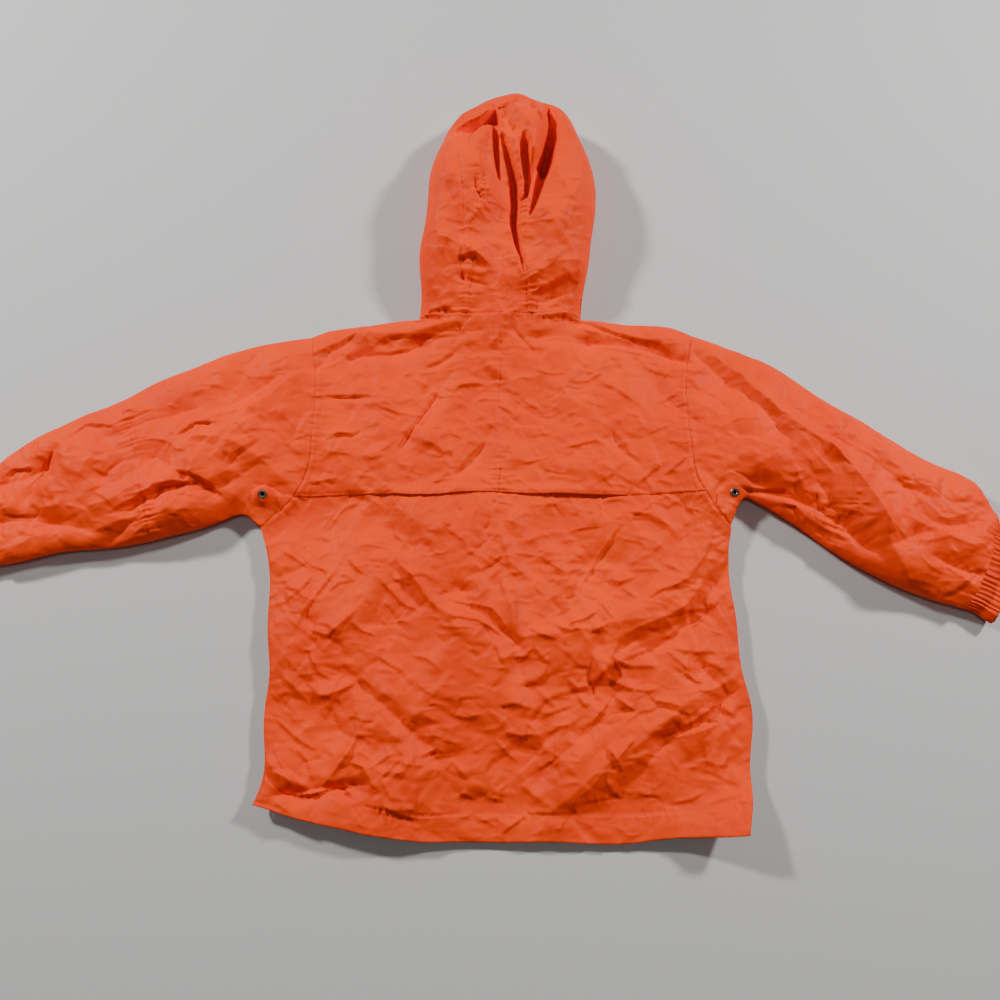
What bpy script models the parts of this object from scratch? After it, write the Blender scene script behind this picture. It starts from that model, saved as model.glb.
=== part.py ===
"""An anorak laid on a flat surface with its back up, arms out, hood spread on its face opening.

All tables are in millimetres, in the garment's own frame: +X to the right of the picture, +Y from
the hem to the hood, +Z up, with the origin on the flat underside of the front panel.
Every cloth piece is a wall: outer points on one shared height function of the plan position,
and inner points moved in along one shared direction, so that neighbours stay parallel at seams.
"""
import math

import bpy
import numpy as np
from mathutils import Matrix, Vector

MM = 0.001
WALL = 1.3            # thickness of the cloth wall
SEAM = 0.3            # gap left between two pieces at a seam
HALF_SEAM = SEAM / 2
ARMHOLE_GAP = 0.22    # the body keeps this far from the armhole seam, which runs aslant of it
SNAP = 0.6            # a plan point this near an edge lies on it

# ------------------------------------------------------------------ plan of the body
# Sides from the hem up to the underarm: left x, left y, right x, right y.
SIDES = [
    (-246, -262, 243, -289),
    (-241, -236, 251, -245),
    (-240, -190, 256, -190),
    (-241, -140, 254, -145),
    (-243, -90, 249, -95),
    (-245, -40, 246, -45),
    (-249, -5, 245, 0),
    (-257, 22, 248, 27),
]
# Armhole seam from the underarm up to the shoulder: y on both sides, left x, right x.
ARMHOLE = [
    (35, -245, 239),
    (47, -233, 229),
    (60, -223, 220),
    (76, -216, 212),
    (98, -209, 207),
    (124, -205, 205),
    (152, -204, 205),
    (180, -205, 206),
    (206, -207, 208),
    (227, -210, 212),
    (241, -213, 215),
    (248, -216, 217),
]
# Hem edge between the two sides: x, y.
HEM = [(-246, -262), (-195, -275), (-132, -290), (-75, -296), (0, -298), (130, -298), (194, -295),
       (243, -289)]
HEM_FADE = 150        # the rows above it lose its shape over this length
# Shoulder line from the armhole to the neck point, on each side: distance from the centre, y.
SHOULDER = [(216, 248), (195, 257), (172, 262), (130, 266), (92, 268)]
NECK_HALF = 92        # half width of the neck seam
NECK_Y = 268
FRONT_NECK_DROP = 42  # how far the hidden front neckline lies below the back neck seam
FRONT_NECK_HALF = 10  # half width of the gap between the hood's front edges there
YOKE_Y = 60           # lower edge of the yoke, sewn down beyond the vent
YOKE_LAP_Y = 76       # the back panel runs up under the yoke to here
VENT = (-150, 132)    # the yoke's edge hangs free between these x
VENT_FADE = 40        # it leaves the panel over this length at each end
VENT_LIFT = 3.2       # how far the free edge stands off the panel below it
VENT_RUN = 20         # the lift dies out over this length above the edge
VENT_DIP = 2.0        # the panel sinks by this under the vent
LAP_FADE = 34         # above the lap, the yoke comes down to the panel's level over this length
CASING = 27           # depth of the stitched hem casing
SIDE_LENGTH = 300     # length of a side from the hem to the underarm
SIDE_ROWS = 12        # rows of the body between the casing and the underarm
CASING_STEP = 0.6     # the turned-up cloth makes the casing thicker by this
# Places across each panel where its points lie.
BACK_SHARES = [0, 0.006, 0.025, 0.06, 0.105, 0.155, 0.21, 0.265, 0.32, 0.375, 0.43, 0.485, 0.54,
               0.595, 0.65, 0.705, 0.76, 0.81, 0.86, 0.905, 0.945, 0.975, 0.994, 1]
FRONT_TOP_X = [-216, -214, -208, -194, -172, -132, -92, -64, -37, -10, 10, 37, 64, 92, 132, 172,
               194, 209, 215, 217]
YOKE_TOP_X = [216, 214, 208, 194, 172, 148, 122, 92, 70, 47, 23, 0]

# ------------------------------------------------------------------ sleeves
# A row for each section from the armhole to the cuff's end: x and y of its upper edge, x and y
# of its lower edge, and how far its middle bows back toward the body (below 0 toward the cuff).
SLEEVE_LEFT = [
    (-216, 248, -257, 22, 0),
    (-242, 243, -276, 37, 0),
    (-276, 234, -302, 28, 0),
    (-322, 215, -329, 18, -4),
    (-374, 191, -354, 10, -9),
    (-428, 163, -378, 4, -13),
    (-468, 146, -420, -1, -9),
    (-505, 127, -465, -5, -5),
    (-540, 100, -504, -13, -2),
    (-563, 80, -532, -18, 0),
    (-593, 70, -563, -27, 0),
]
SLEEVE_RIGHT = [
    (217, 248, 248, 27, 0),
    (244, 239, 263, 54, 0),
    (271, 226, 282, 46, 0),
    (306, 206, 303, 32, -6),
    (355, 173, 325, 17, -9),
    (412, 131, 346, 2, -11),
    (442, 114, 386, -24, -8),
    (475, 95, 424, -45, -5),
    (510, 73, 459, -59, -2),
    (534, 36, 486, -67, 0),
    (562, 22, 515, -79, 0),
]
ELBOW_ROW = 5         # the seam between the upper and the lower sleeve
CUFF_ROW = 9          # the seam between the sleeve and the cuff
ARMHOLE_FADE = 2.6    # the armhole's curve dies out over this many rows
UPPER_RINGS = 9
LOWER_RINGS = 8
CUFF_GATHERS = 36     # gathers round each elastic cuff
GATHER_POINTS = 4     # points round the ring for each gather
GATHER_RISE = 1.0     # height of a gather over the plain inside
CUFF_HEIGHT = 25
CUFF_EDGE = 12        # height of the cuff's side folds
CUFF_TUCK = 2         # the cuff is drawn in by this on each side of the sleeve
CUFF_RINGS = [(0.0, 0.0), (0.3, -1.0), (1.0, 1.0)]    # share along the cuff, swell

# ------------------------------------------------------------------ heights
# Top of the cloth over the table where no edge is near: x, y, height.
CROWN_SPOTS = [
    (0, -296, 9), (-75, -296, 12), (-140, -286, 27), (-205, -268, 20), (120, -296, 11), (205, -288, 19),
    (0, -225, 15), (-120, -225, 20), (-190, -215, 16), (120, -225, 17), (200, -215, 17),
    (0, -120, 20), (-150, -120, 17), (150, -120, 18), (0, 0, 20), (-170, 0, 16), (170, 0, 17),
    (0, 70, 21), (-150, 90, 20), (150, 90, 20), (0, 160, 22), (-140, 180, 22), (140, 180, 22),
    (0, 230, 29), (-140, 240, 24), (140, 240, 24), (0, 268, 36), (-60, 268, 33), (60, 268, 33),
    (-255, 140, 31), (-325, 120, 40), (-400, 92, 43), (-470, 66, 43), (-520, 50, 38), (-552, 32, 30),
    (255, 140, 31), (325, 108, 42), (385, 68, 44), (440, 28, 45), (480, 10, 41), (512, -10, 31),
]
SPOT_REACH = 52       # how far one spot's height carries
LEAST_TOP = 6.5       # the deepest trough leaves the top layer this far above the table
LEAST_CLIMB = 4
BODY_EDGE = 8         # height of the fold along the body's sides
SLEEVE_EDGE = 15      # height of the folds along the sleeves
NECK_EDGE = 4         # the shoulder's fold is higher by this near the neck
NECK_EDGE_REACH = 190
BODY_SIDE = 205       # beyond this x the body turns into the sleeves
SLEEVE_FADE = 70
BODY_TURN = 32        # how far in from the edge the top has risen to its height
SLEEVE_TURN = 58
BODY_UNDER_TURN = 13  # how far in from the edge the underside is flat
SLEEVE_UNDER_TURN = 24
# Corners that curl up off the table, both layers: x, y, reach, height.
CURLS = [(262, -312, 105, 34), (-262, -285, 62, 10)]

# ------------------------------------------------------------------ hood
# Rows from the neck to the crown: y, left edge x, right edge x, height of the widest line,
# height of the top.
HOOD = [
    (268, -92, 92, 9.4, 36),
    (300, -90, 94, 21, 50),
    (340, -91, 101, 27, 61),
    (380, -88, 107, 31, 69),
    (430, -81, 109, 33, 74),
    (462, -74, 104, 33, 74),
    (490, -67, 92, 32, 70),
    (517, -54, 80, 31, 62),
    (534, -36, 68, 30, 54),
]
CROWN_LEFT = (-16, 547)   # where the left gusset seam goes over the crown's edge
CROWN_RIGHT = (42, 550)
CROWN_BULGE = 9           # how far the crown's edge bows out between them
# Gusset seams on top: y, left x, right x.
GUSSET = [(268, -36, 31), (300, -34, 31), (340, -31, 30), (380, -27, 25), (415, -22, 22), (450, -19, 15),
          (480, -17, 9), (505, -16, 10)]
FACE_EDGE = [(-10, 226), (-34, 262), (-47, 310), (-52, 380), (-46, 450), (-36, 495), (-20, 517)]
HOOD_TURN = 50
HOOD_UNDER_TURN = 30
HOOD_BLEND = 46           # the hood leaves the neck seam's height over this length
# The gusset sinks between its seams: y, x of the bottom, depth, half width.
VALLEY = [(268, 0, 0, 16), (305, -2, 3, 18), (335, 2, 14, 17), (380, 4, 27, 15), (430, 4, 34, 14),
          (470, 3, 32, 14), (500, 8, 20, 16), (530, 14, 5, 18), (560, 14, 0, 18)]
HOOD_ROWS = 17
CROWN_ROWS = 3.0          # the crown's bulge dies out over this many rows
HOOD_UNDER = [0.0, 0.3, 0.58, 0.8, 0.94, 1.0]
HOOD_OVER = [0.06, 0.16, 0.32, 0.5, 0.66, 0.8, 0.91, 1.0]
GUSSET_ACROSS = [0.0, 0.16, 0.34, 0.5, 0.66, 0.84, 1.0]

# ------------------------------------------------------------------ folds
# Largest folds of the body and sleeves: from x, y, to x, y, half width, height (below 0 a trough).
FOLDS = [
    (98, 233, 202, 214, 13, -8), (100, 252, 190, 240, 13, 4), (44, 242, 96, 237, 12, -7),
    (-154, 220, -90, 233, 13, -7), (-90, 237, -29, 246, 12, -5), (-150, 250, -60, 256, 13, 4),
    (-206, 205, -169, 217, 12, -6), (-207, 172, -103, 170, 12, 3), (-96, 130, -61, 191, 14, -4),
    (-48, 84, -17, 124, 12, -4), (7, 176, 46, 150, 14, -3), (127, 122, 150, 96, 14, -4),
    (31, 122, 48, 88, 13, -3), (80, 200, 60, 130, 16, 3),
    (-98, -28, -50, -84, 15, 5), (-40, -50, 13, -97, 15, -6), (2, 10, 15, -85, 13, 5),
    (58, -10, 80, -52, 13, 4), (78, -52, 106, -12, 13, -4), (17, -106, 32, -150, 14, -5),
    (77, -88, 98, -120, 14, 5), (98, -106, 96, -150, 13, -6), (96, -143, 130, -116, 14, 4),
    (139, -66, 195, -28, 15, 4), (165, -106, 214, -72, 15, -5), (165, -199, 236, -155, 14, -6),
    (165, -182, 225, -146, 14, 4), (-20, -262, 45, -199, 18, -6), (32, -254, 88, -192, 18, -5),
    (8, -240, 62, -186, 15, 4), (-134, -153, -74, -210, 17, -6), (-98, -178, -50, -216, 15, -5),
    (-144, -186, -170, -234, 13, 6), (-232, -224, -188, -248, 13, 7), (-215, -254, -145, -249, 12, -9),
    (-194, -80, -173, -99, 14, -4), (-173, -99, -155, -74, 14, 4),
    (-300, 66, -410, 6, 17, -9), (-290, 84, -400, 26, 15, 5), (-478, 108, -503, 58, 15, -8),
    (-492, 84, -535, 68, 15, -8), (-350, 150, -402, 130, 17, -6), (-280, 162, -318, 112, 18, -5),
    (-450, 20, -530, 24, 15, -6), (-395, 60, -440, 40, 16, 4),
    (266, 196, 355, 102, 17, 7), (355, 102, 402, 24, 16, 8), (402, 24, 428, -48, 15, 6),
    (226, 216, 300, 124, 19, -9), (312, 160, 368, 112, 17, -7), (279, 64, 384, 0, 17, -9),
    (345, 60, 395, -10, 16, -5), (415, 0, 486, 20, 16, -7), (462, -14, 495, -34, 13, -7),
    (440, 22, 486, 0, 13, 5), (430, 60, 500, 44, 16, -4),
]
# Folds of the hood, in the same columns.
HOOD_FOLDS = [
    (56, 512, 50, 445, 9, -24), (50, 445, 28, 400, 9, -16), (38, 520, 40, 450, 10, 7),
    (-24, 505, -46, 490, 12, -20), (-60, 500, -18, 526, 10, 6), (12, 522, 30, 490, 11, 8),
    (-60, 345, -20, 318, 13, 6), (-48, 330, -20, 300, 11, -9), (-58, 400, -42, 330, 12, -7),
    (40, 290, 84, 318, 13, -10), (36, 306, 82, 336, 12, 6), (84, 400, 60, 330, 16, 5),
]

ORANGE = (0.80, 0.115, 0.032, 1.0)
METAL = (0.42, 0.34, 0.27, 1.0)
# Eyelets near each underarm: name, x, y.
EYELETS = [("eyelet_left", -254, 56), ("eyelet_right", 252, 59)]
EYELET_OUTER = 5.0    # outer radius of the flange
EYELET_HOLE = 1.9     # radius of the hole
EYELET_RISE = 1.6     # thickness of the pressed ring
EYELET_SEAT = 0.5     # it lies this far above the cloth, which is bent under it
EYELET_PROBE = 3      # the slope of the cloth is taken this far from its middle


# ------------------------------------------------------------------ curves and fields
def smooth_rows(rows, per_row):
    """A smooth curve through the rows of a table, with per_row points between two rows."""
    rows = np.array(rows, float)
    padded = np.vstack([2 * rows[0] - rows[1], rows, 2 * rows[-1] - rows[-2]])
    out = []
    for i in range(1, len(padded) - 2):
        a, b, c, d = padded[i - 1:i + 3]
        for k in range(per_row):
            t = k / per_row
            out.append(0.5 * (2 * b + (c - a) * t + (2 * a - 5 * b + 4 * c - d) * t * t
                              + (3 * b - a - 3 * c + d) * t ** 3))
    out.append(rows[-1])
    return np.array(out)


def smooth_step(value):
    t = np.clip(value, 0, 1)
    return t * t * (3 - 2 * t)


def column(rows, key, value, key_column=0):
    """Reads a column of a table at a key, between its rows."""
    rows = np.array(rows, float)
    return np.interp(key, rows[:, key_column], rows[:, value])


class FoldLine:
    """An edge in plan where the cloth turns under; the garment lies on its left side."""

    def __init__(self, points):
        self.points = np.array(points, float)
        steps = np.diff(self.points, axis=0)
        lengths = np.linalg.norm(steps, axis=1)
        out = np.stack([steps[:, 1], -steps[:, 0]], 1) / lengths[:, None]
        corner = np.vstack([out[:1], out[:-1] + out[1:], out[-1:]])
        for _ in range(3):
            inner = corner[:-2] + 2 * corner[1:-1] + corner[2:]
            corner = np.vstack([corner[:1], inner, corner[-1:]])
        self.out = corner / np.linalg.norm(corner, axis=1)[:, None]

    def nearest(self, x, y):
        """Distance of each point, and the outward direction there."""
        a, b = self.points[:-1], self.points[1:]
        step = b - a
        spot = np.stack([x, y], -1)[..., None, :]
        along = np.clip(((spot - a) * step).sum(-1) / (step * step).sum(-1), 0, 1)
        gap = np.linalg.norm(spot - (a + along[..., None] * step), axis=-1)
        pick = gap.argmin(-1)
        share = np.take_along_axis(along, pick[..., None], -1)
        out = self.out[pick] * (1 - share) + self.out[pick + 1] * share
        gap = gap.min(-1)
        return np.where(gap < SNAP, 0, gap), out


def edge_profile(lines, x, y, turn):
    """How far the surface has risen from its edges, 0 to 1, and the outward lean beside them."""
    rise = np.ones_like(x)
    lean = np.zeros(x.shape + (2,))
    for line in lines:
        gap, out = line.nearest(x, y)
        left = 1 - np.clip(gap / turn, 0, 1)
        rise = rise * np.sqrt(1 - left * left)
        lean = lean + out * left[..., None]
    return rise, lean


def fold_height(rows, x, y):
    """The sum of the folds of a table: each rises or sinks along its line and dies out at its ends."""
    total = np.zeros_like(x)
    for x1, y1, x2, y2, half, height in rows:
        length = math.hypot(x2 - x1, y2 - y1)
        ux, uy = (x2 - x1) / length, (y2 - y1) / length
        along = ((x - x1) * ux + (y - y1) * uy) / length
        beyond = np.maximum(0, np.abs(along - 0.5) - 0.5) * length
        across = (x - x1) * -uy + (y - y1) * ux
        narrow = half * (1 - 0.35 * np.clip(np.abs(along - 0.5) * 2, 0, 1))
        total += height * np.exp(-(across / narrow) ** 2 - (beyond / half) ** 2)
    return total


def curl(x, y):
    """How far the curled corners are lifted, both layers together."""
    total = np.zeros_like(x)
    for cx, cy, reach, height in CURLS:
        total += height * smooth_step(1 - np.hypot(x - cx, y - cy) / reach) ** 1.3
    return total


def crown(x, y):
    """Height of the cloth away from its edges, from the table of spots."""
    weight_sum = np.zeros_like(x)
    total = np.zeros_like(x)
    for sx, sy, height in CROWN_SPOTS:
        weight = np.exp(-((x - sx) ** 2 + (y - sy) ** 2) / SPOT_REACH ** 2) + 1e-9
        weight_sum += weight
        total += weight * height
    return total / weight_sum


def sleeveness(x):
    """0 on the body, and 1 on the sleeves."""
    return smooth_step((np.abs(x) - BODY_SIDE) / SLEEVE_FADE)


def edge_height(x):
    """Height of the folds along the edges."""
    near_neck = smooth_step(1 - np.abs(x) / NECK_EDGE_REACH)
    return BODY_EDGE + (SLEEVE_EDGE - BODY_EDGE) * sleeveness(x) + NECK_EDGE * near_neck


def unit(vector):
    return vector / np.linalg.norm(vector, axis=-1)[..., None]


def extended(points, length=60):
    """The line with a straight run added at both ends, so that its ends have no round of their own."""
    points = np.array(points, float)
    head = unit(points[0] - points[1]) * length + points[0]
    tail = unit(points[-1] - points[-2]) * length + points[-1]
    return np.vstack([head, points, tail])


def make_fold_lines():
    """The four edges of the body and sleeves, each with the garment on its left."""
    lines = []
    for side, sleeve in ((0, SLEEVE_LEFT), (2, SLEEVE_RIGHT)):
        body = [(row[side], row[side + 1]) for row in SIDES[:-1]]
        lower = smooth_rows(body + [(row[2], row[3]) for row in sleeve], 4)
        sign = -1 if side == 0 else 1
        shoulder = [(sign * x, y) for x, y in SHOULDER[1:]]
        upper = smooth_rows([(row[0], row[1]) for row in sleeve[::-1]] + shoulder, 4)
        lower = extended(lower)
        upper = extended(upper)[:-1]
        if side == 0:
            lower, upper = lower[::-1], upper[::-1]
        lines += [FoldLine(lower), FoldLine(upper)]
    return lines


FOLD_LINES = make_fold_lines()


def body_top(x, y):
    """Outer surface of the body and sleeves seen from above: height, and the way out of the wall."""
    edge = edge_height(x)
    turn = BODY_TURN + (SLEEVE_TURN - BODY_TURN) * sleeveness(x)
    rise, lean = edge_profile(FOLD_LINES, x, y, turn)
    climb = crown(x, y) - edge
    height = edge + climb * rise + fold_height(FOLDS, x, y) * rise ** 0.7 + curl(x, y)
    out = unit(np.concatenate([lean, (rise * turn / np.maximum(climb, LEAST_CLIMB))[..., None]], -1))
    return np.maximum(height, LEAST_TOP), out


def body_under(x, y):
    """Outer surface of the body and sleeves against the table."""
    edge = edge_height(x)
    turn = BODY_UNDER_TURN + (SLEEVE_UNDER_TURN - BODY_UNDER_TURN) * sleeveness(x)
    rise, lean = edge_profile(FOLD_LINES, x, y, turn)
    height = edge * (1 - rise) + curl(x, y)
    out = unit(np.concatenate([lean, -(rise * turn / edge)[..., None]], -1))
    return height, out


# ------------------------------------------------------------------ walls
def grid_faces(outer, wrap):
    """Faces of a closed wall whose outer grid comes first and whose inner grid follows it.
    Each square is split along its shorter diagonal, outside and inside alike."""
    rows, cols = outer.shape[:2]
    spots = outer.reshape(-1, 3)
    inner = rows * cols
    faces = []
    spans = cols if wrap else cols - 1
    for i in range(rows - 1):
        for j in range(spans):
            a, b = i * cols + j, i * cols + (j + 1) % cols
            c, d = b + cols, a + cols
            if np.linalg.norm(spots[a] - spots[c]) < np.linalg.norm(spots[b] - spots[d]):
                halves = ((a, b, c), (a, c, d))
            else:
                halves = ((a, b, d), (b, c, d))
            for half in halves:
                faces.append(half)
                faces.append(tuple(inner + k for k in half[::-1]))
    for j in range(spans):
        a, b = j, (j + 1) % cols
        faces.append((b, a, inner + a, inner + b))
        a, b = (rows - 1) * cols + j, (rows - 1) * cols + (j + 1) % cols
        faces.append((a, b, inner + b, inner + a))
    if not wrap:
        for i in range(rows - 1):
            a, b = i * cols, (i + 1) * cols
            faces.append((a, b, inner + b, inner + a))
            a, b = i * cols + cols - 1, (i + 1) * cols + cols - 1
            faces.append((b, a, inner + a, inner + b))
    return faces


def add_mesh(name, points, faces, material):
    mesh = bpy.data.meshes.new(name)
    mesh.from_pydata([tuple(p) for p in np.array(points) * MM], [], faces)
    mesh.materials.append(material)
    mesh.validate()
    mesh.shade_smooth()
    mesh.set_sharp_from_angle(angle=math.radians(50))
    thing = bpy.data.objects.new(name, mesh)
    PARTS.objects.link(thing)
    return thing


def add_wall(name, outer, out, material, wrap=False, flip=False, wall=WALL):
    """A closed cloth wall from its outer points and the direction out of it at each of them."""
    inner = outer - out * np.asarray(wall)[..., None]
    points = np.concatenate([outer.reshape(-1, 3), inner.reshape(-1, 3)])
    faces = grid_faces(outer, wrap)
    if flip:
        faces = [face[::-1] for face in faces]
    return add_mesh(name, points, faces, material)


def surface(function, plan):
    """Lays a plan grid on a surface function, giving its points and outward directions."""
    height, out = function(plan[..., 0], plan[..., 1])
    return np.concatenate([plan, height[..., None]], -1), out


# ------------------------------------------------------------------ body panels
def side_stations(count):
    """Left and right side points from the hem to the underarm, spaced for the hem casing."""
    dense = smooth_rows(SIDES, 16)
    share = np.linspace(0, 1, len(dense))
    wanted = [rise * CASING / SIDE_LENGTH for rise in (0, 0.5, 0.93, 1.03)]
    wanted += list(np.linspace(0.15, 1, count))
    return [tuple(np.interp(w, share, dense[:, k]) for k in range(4)) for w in wanted]


def body_rows():
    """Rows of the body: left x, left y, right x, right y, and how much of the hem's shape is left."""
    rows = []
    hem_y = HEM[0][1]
    for left, left_y, right, right_y in side_stations(SIDE_ROWS):
        rows.append((left, left_y, right, right_y, max(0, 1 - (left_y - hem_y) / HEM_FADE)))
    for y, left, right in ARMHOLE:
        rows.append((left, y, right, y, 0))
    return np.array(rows)


def body_plan(rows, shares, top=None):
    """Plan grid of the body between its side rows; top bends the last rows to the shoulder line."""
    hem = np.array(HEM, float)
    lx, ly, rx, ry, hem_share = [rows[:, k][:, None] for k in range(5)]
    u = np.array(shares)[None, :]
    hem_x = HEM[0][0] + (HEM[-1][0] - HEM[0][0]) * u
    chord = HEM[0][1] + (HEM[-1][1] - HEM[0][1]) * u
    sag = np.interp(hem_x, hem[:, 0], hem[:, 1]) - chord
    y = ly + (ry - ly) * u + sag * hem_share
    if top is not None:
        lift = np.clip((ly - YOKE_Y) / (ARMHOLE[-1][0] - YOKE_Y), 0, 1)
        y = y + (top - ARMHOLE[-1][0]) * lift
        left = np.interp(y, rows[:, 1], rows[:, 0])
        right = np.interp(y, rows[:, 3], rows[:, 2])
        x_top = lx + (rx - lx) * u
        inside = left + (right - left) * u
        x = np.where((u > 0) & (u < 1) & (ly > YOKE_Y), inside, x_top)
    else:
        x = lx + (rx - lx) * u
    return np.stack([np.broadcast_to(x, y.shape), y], -1)


def top_share(x):
    """Share across the body of a place on its shoulder line."""
    left, right = ARMHOLE[-1][1], ARMHOLE[-1][2]
    return (x - left) / (right - left)


def shoulder_y(x):
    table = np.array(SHOULDER[::-1], float)
    return np.interp(np.abs(x), table[:, 0], table[:, 1])


def front_neck_y(x):
    """Shoulder line with the hidden front neckline cut into it as a V with a flat bottom."""
    reach = (NECK_HALF - np.abs(x)) / (NECK_HALF - FRONT_NECK_HALF)
    return shoulder_y(x) - FRONT_NECK_DROP * np.clip(reach, 0, 1)


def make_front(material):
    rows = body_rows()
    x_top = np.array(FRONT_TOP_X, float)
    shares = top_share(x_top)
    top = front_neck_y(x_top)
    plan = body_plan(rows, shares, top)
    armhole = plan[:, 0, 1] > SIDES[-1][1] - 1
    plan[armhole, 0, 0] += ARMHOLE_GAP
    plan[armhole, -1, 0] -= ARMHOLE_GAP
    plan[-1, 1:-1, 0] = x_top[1:-1]
    neck = np.abs(x_top) < NECK_HALF + 1
    plan[-1, neck, 1] -= SEAM
    points, out = surface(body_under, plan)
    add_wall("front_body", points, out, material, flip=True)


def make_back(material):
    rows = body_rows()
    rows = rows[rows[:, 1] <= YOKE_LAP_Y + 1]
    plan = body_plan(rows, BACK_SHARES)
    armhole = plan[:, 0, 1] > SIDES[-1][1] - 1
    plan[armhole, 0, 0] += ARMHOLE_GAP
    plan[armhole, -1, 0] -= ARMHOLE_GAP
    points, out = surface(body_top, plan)
    lap = YOKE_LAP_Y - YOKE_Y
    dip = vent_share(plan[..., 0]) * smooth_step((plan[..., 1] - YOKE_Y + lap) / lap)
    points[..., 2] += SEAM - VENT_DIP * dip
    wall = np.full(plan.shape[:2], WALL)
    wall[:3] += CASING_STEP
    points[:3] += out[:3] * CASING_STEP
    add_wall("back_lower", points, out, material, wall=wall)


def vent_share(x):
    """1 in the middle of the vent, and 0 where the yoke is sewn down."""
    left, right = VENT
    return smooth_step((x - left) / VENT_FADE) * smooth_step((right - x) / VENT_FADE)


def make_yoke(name, side, material):
    """One half of the yoke: it laps over the back panel and hangs free along the vent."""
    rows = body_rows()
    rows = rows[rows[:, 1] >= YOKE_Y - 1]
    x_top = -np.array(YOKE_TOP_X, float) if side < 0 else np.array(YOKE_TOP_X[::-1], float)
    shares = top_share(x_top)
    shares[0 if side < 0 else -1] = 0 if side < 0 else 1
    plan = body_plan(rows, shares, shoulder_y(x_top))
    plan[:, -1 if side < 0 else 0, 0] = 0
    plan[:, 0, 0] += ARMHOLE_GAP if side < 0 else HALF_SEAM
    plan[:, -1, 0] -= HALF_SEAM if side < 0 else ARMHOLE_GAP
    seam_points = np.abs(plan[-1, :, 0]) < NECK_HALF + 1
    neck = np.abs(plan[-1, :, 0]) < NECK_HALF - 1
    plan[-1, seam_points, 1] = NECK_Y - SEAM
    points, out = surface(body_top, plan)
    lap = 1 - smooth_step((plan[..., 1] - YOKE_LAP_Y) / LAP_FADE)
    free = VENT_LIFT * vent_share(plan[..., 0]) * smooth_step((YOKE_Y + VENT_RUN - plan[..., 1]) / VENT_RUN)
    points[..., 2] += SEAM + (WALL + SEAM) * lap + free
    out[-1, neck, 1] = 0
    out = unit(out)
    add_wall(name, points, out, material)


# ------------------------------------------------------------------ sleeves
def sleeve_section(table, position):
    """Upper point, lower point and bow of a sleeve at a position counted in table rows."""
    dense = smooth_rows(table, 20)
    at = position * 20
    return np.array([np.interp(at, np.arange(len(dense)), dense[:, k]) for k in range(5)])


def armhole_stations(side):
    """Points of the armhole seam from the shoulder to the underarm."""
    points = [(row[side], row[0]) for row in ARMHOLE[::-1]]
    last = SIDES[-1]
    points.append((last[0], last[1]) if side == 1 else (last[2], last[3]))
    return np.array(points, float)


def sleeve_ring(table, side, position):
    """Plan points of one ring: over the top from the upper edge to the lower, then back beneath."""
    seam = armhole_stations(side)
    steps = np.linalg.norm(np.diff(seam, axis=0), axis=1)
    share = np.concatenate([[0], np.cumsum(steps)]) / steps.sum()
    section = sleeve_section(table, position)
    upper, lower, bow = section[:2], section[2:4], section[4]
    chord = lower - upper
    toward_body = unit(np.array([-chord[1], chord[0]])) * (1 if side == 1 else -1)
    straight = upper + chord * share[:, None]
    first = sleeve_section(table, 0)
    start = seam - (first[:2] + (first[2:4] - first[:2]) * share[:, None])
    fade = 1 - smooth_step(position / ARMHOLE_FADE)
    return straight + start * fade + toward_body * (bow * 4 * share * (1 - share))[:, None]


def sleeve_wall(name, table, side, positions, material, shift):
    """One tube of a sleeve from its ring positions; shift moves its two end rings in by half a seam."""
    over_plan = np.array([sleeve_ring(table, side, p) for p in positions])
    axis = over_plan[-1].mean(0) - over_plan[0].mean(0)
    for end, sign in ((0, 1), (-1, -1)):
        along = unit(np.gradient(over_plan[end], axis=0))
        normal = np.stack([along[:, 1], -along[:, 0]], -1)
        normal *= np.sign(normal @ axis)[:, None]
        over_plan[end] += normal * shift * sign
    top, top_out = surface(body_top, over_plan)
    under_plan = over_plan[:, -2:0:-1]
    low, low_out = surface(body_under, under_plan)
    edge = edge_height(over_plan[..., 0]) + curl(over_plan[..., 0], over_plan[..., 1])
    top[:, 0, 2] = edge[:, 0]
    top[:, -1, 2] = edge[:, -1]
    points = np.concatenate([top, low], 1)
    out = np.concatenate([top_out, low_out], 1)
    add_wall(name, points, out, material, wrap=True, flip=side == 1)


def make_sleeve(word, table, side, material):
    upper = np.linspace(0, ELBOW_ROW, UPPER_RINGS)
    lower = np.linspace(ELBOW_ROW, CUFF_ROW, LOWER_RINGS)
    sleeve_wall(f"sleeve_{word}_upper", table, side, upper, material, HALF_SEAM)
    sleeve_wall(f"sleeve_{word}_lower", table, side, lower, material, HALF_SEAM)


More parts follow.
